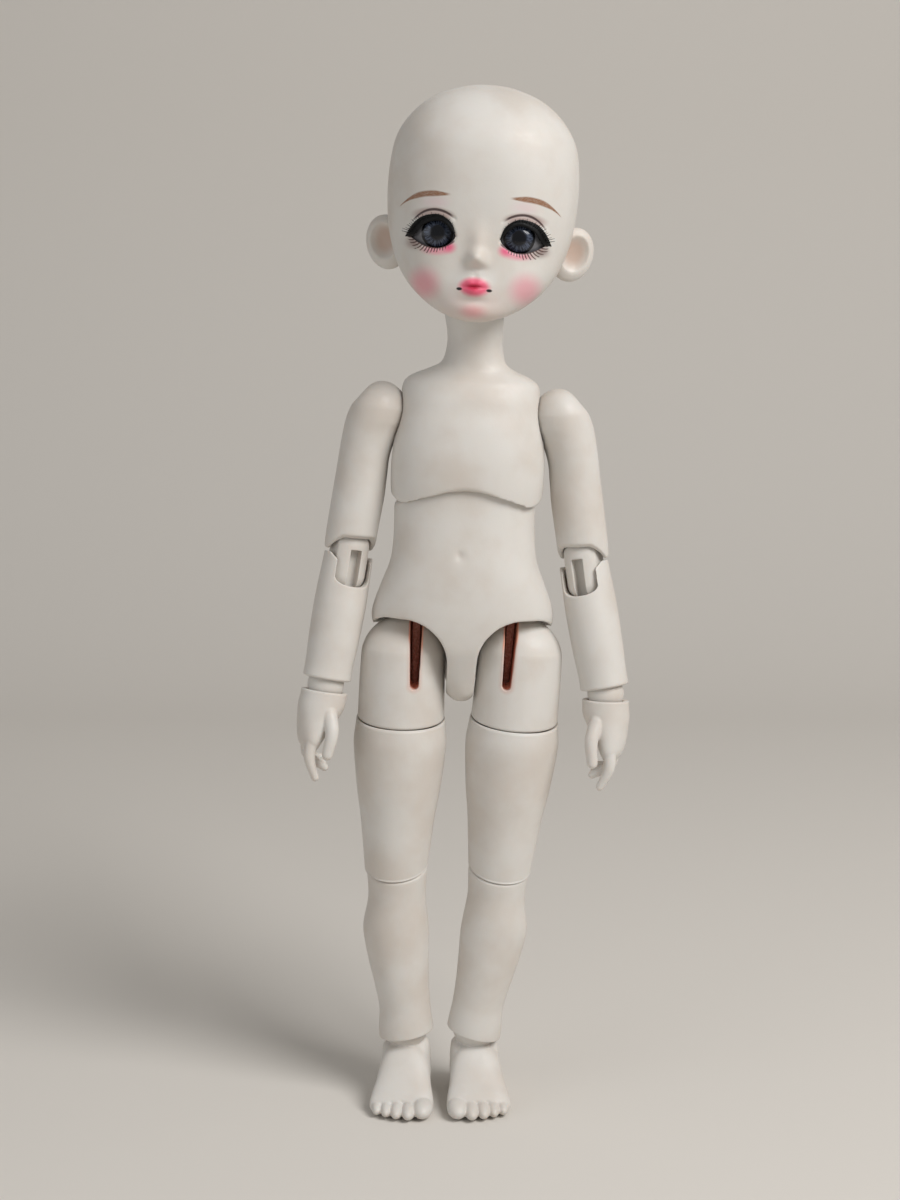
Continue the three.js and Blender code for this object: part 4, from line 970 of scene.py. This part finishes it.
def build_head(finish):
    cap_way = about(0, CAP_LEAN) @ BACKWARD
    inset = [[z + 5 if z < 0 else z - 1.8, max(h - 3.6, 3), max(f - 4.6, 3), max(b - 3.6, 3)]
             for z, h, f, b in HEAD_STATIONS[3:12]]
    hollow = closed(skin_rings(Skin(inset, 2.2), inset[-1][0], NECK_BALL + 3.7 - HEAD_RISE, 40))
    tools = [(JOIN, ear_body(1)), (JOIN, ear_body(-1)), (CUT, hollow)]
    pockets = []
    for side in (-1, 1):
        seat = lambda depth: np.array(MAGNET_AT) * (side, 1, 1) + cap_way * (CAP_BACK + depth)
        tools.append((JOIN, outward(rod(MAGNET_SEAT, seat(5), seat(-5)))))
        pockets.append((CUT, outward(rod(MAGNET_ROOM, seat(2.6), seat(-2.6)))))
    skull = carved(mesh_of(solid(head_rings())), *tools)
    neck = (0, 0, -HEAD_RISE)
    cuts = [
        (CUT, behind(CAP_BACK - CAP_SEAM)),
        (CUT, closed(globe(NECK_BALL + BALL_GAP, neck))),
        (CUT, rod(NECK_HOLE, (0, 0, -16), neck)),
    ]
    for side in (-1, 1):
        eye = (side * EYE_SPREAD, -EYE_BACK, -EYE_DROP)
        opening = prism(side * (EYE_SPREAD + EYE_EDGE[:, 0]), EYE_EDGE[:, 1] - EYE_DROP, -40.0, -EYE_BACK)
        cuts.append((CUT, opening))
        cuts.append((CUT, closed(globe(EYE_RADIUS + BALL_GAP, eye))))
        well = rod(EYE_RADIUS + EYE_WELL, (eye[0], 0, eye[2]), (eye[0], eye[1] - 0.6, eye[2]))
        cuts.append((CUT, outward(well)))
    piece("head_shell_cast", carved(skull, *cuts, *pockets), HEAD, "head", finish, ["head_shell"], crisp=42)
    cap = carved(skull, (KEEP, behind(CAP_BACK + CAP_SEAM)), *pockets)
    cast("head_cap", cap, HEAD, crisp=42)


def eye_rings():
    """Rings of a glass eye about its gaze: a ball with a raised clear dome over the iris and a flat back."""
    turn = np.linspace(0.01, 2.1, 60)[:, None]
    angle = circle(96)[None, :]
    radius = EYE_RADIUS + 0.35 * np.exp(-(turn / 0.42) ** 4)
    x, z = radius * np.sin(turn) * np.cos(angle), radius * np.sin(turn) * np.sin(angle)
    return np.stack([x, -radius * np.cos(turn) * np.ones_like(angle), z], -1)


def lash_body(side):
    """A curved band along the upper lid, thickest at its middle, with fine hairs that curl up and away."""
    low, high = smooth_rows(LASH_LOWER, 10)[:, :2], smooth_rows(LASH_UPPER, 10)[:, :2]
    share = np.linspace(0, 1, 7)
    across = np.concatenate([share, share[::-1]])
    lift = np.concatenate([0.12 + 0.4 * np.sin(math.pi * share), np.full(7, -0.35)])
    spots = low[:, None] * (1 - across[None, :, None]) + high[:, None] * across[None, :, None]
    y = face_depth(spots[..., 0], spots[..., 1], side) - lift[None]
    rings = np.stack([side * (EYE_SPREAD + spots[..., 0]), y, spots[..., 1] - EYE_DROP], -1)
    points, faces = solid(rings)
    bodies = [(points, faces)]
    roots = np.linspace(14, len(low) - 8, 26).astype(int)
    for k, i in enumerate(roots):
        root = 0.45 * low[i] + 0.55 * high[i]
        away = unit(high[i] - np.array([0.6, -1.0]))
        long = 0.8 + 1.7 * (k / len(roots)) ** 2 + 0.3 * math.sin(2.4 * k)
        lean = np.array([away[0] + 0.075 * math.sin(1.7 * k), away[1]])
        steps = np.linspace(0, 1, 4)[:, None]
        flat = root + lean * long * (0.35 * steps + 0.55 * steps ** 2)
        start = face_depth(root[:1], root[1:], side)[0] - 0.3
        depth = start - long * (0.75 * steps - 0.25 * steps ** 2)
        path = np.column_stack([side * (EYE_SPREAD + flat[:, 0]), depth, flat[:, 1] - EYE_DROP])
        bodies.append(tube(path.tolist(), (0.13, 0.1, 0.04), 6, 3))
    count, points, faces = 0, [], []
    for some, these in bodies:
        faces += [tuple(count + c for c in f) for f in these]
        points.append(some)
        count += len(some)
    return np.vstack(points), faces


def eye_finish(name, side):
    """A glass eye: dark pupil, grey-blue iris with spokes, black ring and a white painted dark grey as
    painted shade from the lids, under a gloss.
    """
    finish = Finish(name, Roughness=0.2, Specular_IOR_Level=0.25, Coat_Weight=0.35, Coat_Roughness=0.06)
    ex, ez = finish.along(HEAD, 0) - side * EYE_SPREAD, finish.along(HEAD, 2) + EYE_DROP
    r = (ex * ex + ez * ez).root()
    around = finish.start.node("ShaderNodeCombineXYZ", {0: ex / r * 4.0, 1: ez / r * 4.0, 2: r * 0.35})
    spokes = finish.noise(2.2, at=around)
    iris = spokes.fade(0.64, 0.4).between(colour(26, 31, 43), colour(76, 84, 101))
    shade = iris.towards((20, 25, 38), r.fade(1.5, 2.6) * 0.8)
    shade = shade.towards((5, 6, 12), (r - spokes * 1.2).fade(1.0, 1.5))
    shade = shade.towards((9, 10, 14), r.fade(3.65, 3.3))
    # Painted shade: the white of the eye is painted dark grey for the shade that the lids and lashes cast on
    # it.
    shade = shade.towards((98, 98, 102), r.fade(4.25, 4.0))
    finish.paint("Base Color", shade)
    return finish.material


def face_finish():
    """Resin with a painted face: blush, shaded lids, brows, drawn lower lashes and lips, each a soft-edged
    shape measured from the middle of the head or of an eye, with painted warm bounce light over the lower
    face and painted shade in the hollows of the ears."""
    finish, shade = resin("painted_face")
    across, y, z = (finish.along(HEAD, k) for k in range(3))
    x = abs(across)
    front = y.fade(-15, -10)
    ex, ez = x - EYE_SPREAD, z + EYE_DROP

    def oval(u, v, cu, cv, wide, tall, inner=0.1):
        a, b = (u - cu) / wide, (v - cv) / tall
        return (a * a + b * b).root().fade(inner, 1.0)

    layers = []
    add = lambda tone, mask: layers.append((tone, mask))
    # Painted light: a pinkish tint over the lower face, standing for warm light bounced up from below.
    add((216, 184, 176), oval(across, z, 0, -31, 15, 8) * 0.35)
    add((228, 116, 142), oval(x, z, 13.2, -25.9, 6.2, 6.0, 0.15) * 0.52)
    add((225, 132, 142), oval(across, z, 0, -32.2, 5.0, 2.6) * 0.5)
    add((214, 172, 184), oval(ex, ez, 1.0, 7.6, 5.5, 2.4) * 0.3)
    add((150, 116, 110), oval(ex, ez, 1.4, 4.4, 6.6, 2.2, 0.5) * 0.65)
    add((116, 80, 78), oval(ex, ez, 5.9, -2.9, 3.4, 2.4) * 0.65)
    add((226, 108, 142), oval(ex, ez, 0.2, -4.5, 5.2, 1.7, 0.2) * 0.6)
    add((224, 70, 122), oval(ex, ez, -3.2, -3.5, 2.7, 2.1) * 0.85)
    t = ex - 0.9
    late = t.most(0.0)
    fold = 5.75 - t * t * 0.07 - late * late * late * 0.004
    line = abs(ez - fold).fade(0.18, 0.46) * ex.fade(-2.8, -4.4) * ex.fade(5.4, 7.4)
    add((54, 30, 30), line * 0.92)
    b = x - 11
    arch = b * b * -0.012 - b * b * b * 0.0024 - 3.05
    half = x.fade(7.4, 12.5, 0.3, 0.8) * x.fade(15.5, 21.0, 1.0, 0.2)
    hairs = finish.start.node("ShaderNodeCombineXYZ", {0: x * 0.5 + z * 0.9, 1: z * 4.0 - x * 1.2, 2: 0.0})
    streak = finish.noise(1.6, 2.0, hairs).fade(0.3, 0.6, 0.72, 1.0)
    brow = (abs(z - arch) / half).fade(0.6, 1.2) * x.fade(9.4, 7.2) * x.fade(20.3, 21.2) * streak
    add((136, 94, 64), brow * (x * x + y * y).fade(640, 580))
    e = ex - 0.6
    edge = e * e * 0.072 - 3.8
    below = edge - ez
    add((52, 30, 34), abs(below).fade(0.12, 0.5) * ex.fade(-4.2, -4.9) * ex.fade(6.6, 7.6) * 0.9)
    lean = below * (ex + 1.2) * 0.12
    stroke = ((ex - lean) * 1.5).math("FRACT") - 0.5
    reach = ex.fade(-3.5, 6.5, 0.9, 2.4) * finish.noise(900.0).fade(0.35, 0.65, 0.8, 1.15)
    down = below / reach
    fine = (abs(stroke) + down * 0.14).fade(0.2, 0.36) * down.fade(0.85, 1.05) * down.fade(0.0, -0.2)
    add((70, 42, 38), fine * ex.fade(-2.2, -3.6) * ex.fade(7.4, 8.0) * 0.9)
    add((224, 92, 124), oval(across, z, 0, -25.9, 4.9, 3.0, 0.55) * 0.9)
    add((212, 50, 88), oval(across, z, 0, -25.9, 3.9, 2.2, 0.2) * 0.85)
    add((176, 14, 52), oval(across, z, 0, -25.85, 2.4, 1.1, 0.1) * 0.85)
    add((14, 10, 12), oval(x, z, 3.85, -26.6, 0.95, 0.5, 0.55))
    for tone, mask in layers:
        shade = shade.towards(tone, mask * front)
    # Painted shade: a tan darkening in the hollow of each ear, where its scoop lies in shade.
    inward = y - x * 0.315
    ear_bowl_shade = oval(x, z, 25.4, -15.0, 4.0, 5.4, 0.35) * inward.fade(-6.4, -7.4) * inward.fade(-4.7, -3.6)
    finish.paint("Base Color", shade.towards((176, 142, 122), ear_bowl_shade * 0.6))
    return finish.material


LASH = Finish("lash_fibre", Specular_IOR_Level=0.2, Base_Color=colour(7, 7, 8))
LASH.paint("Roughness", LASH.noise(3000.0).fade(0.3, 0.7, 0.45, 0.75))


def build_face_parts():
    build_head(face_finish())
    glass = mesh_of(solid(eye_rings()))
    for name, side in SIDES.items():
        spot = np.array([side * EYE_SPREAD, -EYE_BACK, -EYE_DROP])
        eye = Place(HEAD.origin + spot @ HEAD.axes, x=HEAD.axes[0], y=HEAD.axes[1])
        glaze = eye_finish(f"{name}_glass_eye", side)
        piece(f"{name}_eye_glass", glass, eye, "head", glaze, [f"{name}_eye"])
        lash = mesh_of(lash_body(side))
        piece(f"{name}_lash_strip", lash, HEAD, "head", LASH.material, [f"{name}_upper_lashes"])


# Cords, hooks, magnets and putty keep their solids and get their own finishes.

ELASTIC = Finish("elastic_cord", Roughness=0.85)
weave = ELASTIC.noise(1400.0, 3.0)
shades = colour(164, 112, 96), colour(198, 146, 130)
ELASTIC.paint("Base Color", weave.fade(0.7, 0.3).between(*shades))
ELASTIC.bump(weave, 0.0001)
STEEL = Finish("steel_wire", Metallic=1.0, Base_Color=colour(186, 188, 190))
STEEL.paint("Roughness", STEEL.noise(800.0).fade(0.3, 0.7, 0.22, 0.42))
PUTTY = Finish("eye_putty", Base_Color=colour(222, 214, 204))
PUTTY.paint("Roughness", PUTTY.noise(500.0).fade(0.3, 0.7, 0.5, 0.8))


def finish_inner_pieces():
    kinds = {"elastic": ELASTIC, "hook": STEEL, "magnet": STEEL, "putty": PUTTY}
    for name, obj in frame["nodes"].items():
        for word, finish in kinds.items():
            if name.endswith(word):
                obj.data.materials.clear()
                obj.data.materials.append(finish.material)


build_lower_torso()
build_chest()
build_face_parts()
finish_inner_pieces()
build_arms()
build_legs()


# Camera, light and floor

HALF_TALL, FOCAL = 600, 2000
camera_data = bpy.data.cameras.new("camera")
camera_data.sensor_fit = "VERTICAL"
camera_data.angle = 2 * math.atan(HALF_TALL / FOCAL)
camera_data.clip_start, camera_data.clip_end = 0.01, 20
camera = bpy.data.objects.new("camera", camera_data)
camera.location = (-0.0035, -0.5443, 0.2286)
camera.rotation_euler = (math.radians(81), 0, 0)
scene.collection.objects.link(camera)
scene.camera = camera
scene.view_settings.view_transform = "Standard"


def area_light(name, at, aim, size, power, shade):
    lamp = bpy.data.lights.new(name, "AREA")
    lamp.shape, lamp.size, lamp.energy, lamp.color = "DISK", size, power, shade
    obj = bpy.data.objects.new(name, lamp)
    obj.location = at
    obj.rotation_euler = (Vector(at) - Vector(aim)).to_track_quat("Z", "Y").to_euler()
    scene.collection.objects.link(obj)


area_light("window", (0.6, -0.55, 0.85), (0, 0, 0.14), 0.6, 10.0, (1.0, 0.99, 0.98))
area_light("fill", (-0.9, -0.6, 0.35), (0, 0, 0.12), 0.9, 1.8, (0.96, 0.98, 1.0))

world = bpy.data.worlds.new("room")
world.use_nodes = True
world.node_tree.nodes["Background"].inputs["Color"].default_value = (1, 1, 1, 1)
world.node_tree.nodes["Background"].inputs["Strength"].default_value = 0.32
scene.world = world

FLOOR = Finish("floor_paper", Roughness=0.9, Base_Color=colour(214, 209, 202))


def build_floor():
    """A sheet that lies flat under the doll and curves up behind it: a floor, a quarter circle and a wall."""
    sweep = np.linspace(0, math.pi / 2, 24)
    depth, radius = 0.5, 0.35
    curve = [(depth + radius * math.sin(a), radius - radius * math.cos(a)) for a in sweep]
    profile = np.array([(-1.2, 0.0)] + curve + [(depth + radius, 1.8)])
    across = np.linspace(-2.0, 2.0, 3)
    points = np.array([[x, y, z - 0.0001] for y, z in profile for x in across])
    faces = []
    for i in range(len(profile) - 1):
        faces += [(3 * i + k, 3 * i + k + 1, 3 * i + k + 4, 3 * i + k + 3) for k in range(2)]
    mesh = bpy.data.meshes.new("floor")
    mesh.from_pydata(points.tolist(), [], faces)
    mesh.shade_smooth()
    mesh.materials.append(FLOOR.material)
    obj = bpy.data.objects.new("floor", mesh)
    scene.collection.objects.link(obj)
    obj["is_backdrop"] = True


build_floor()
sizes["finished"] = measured()
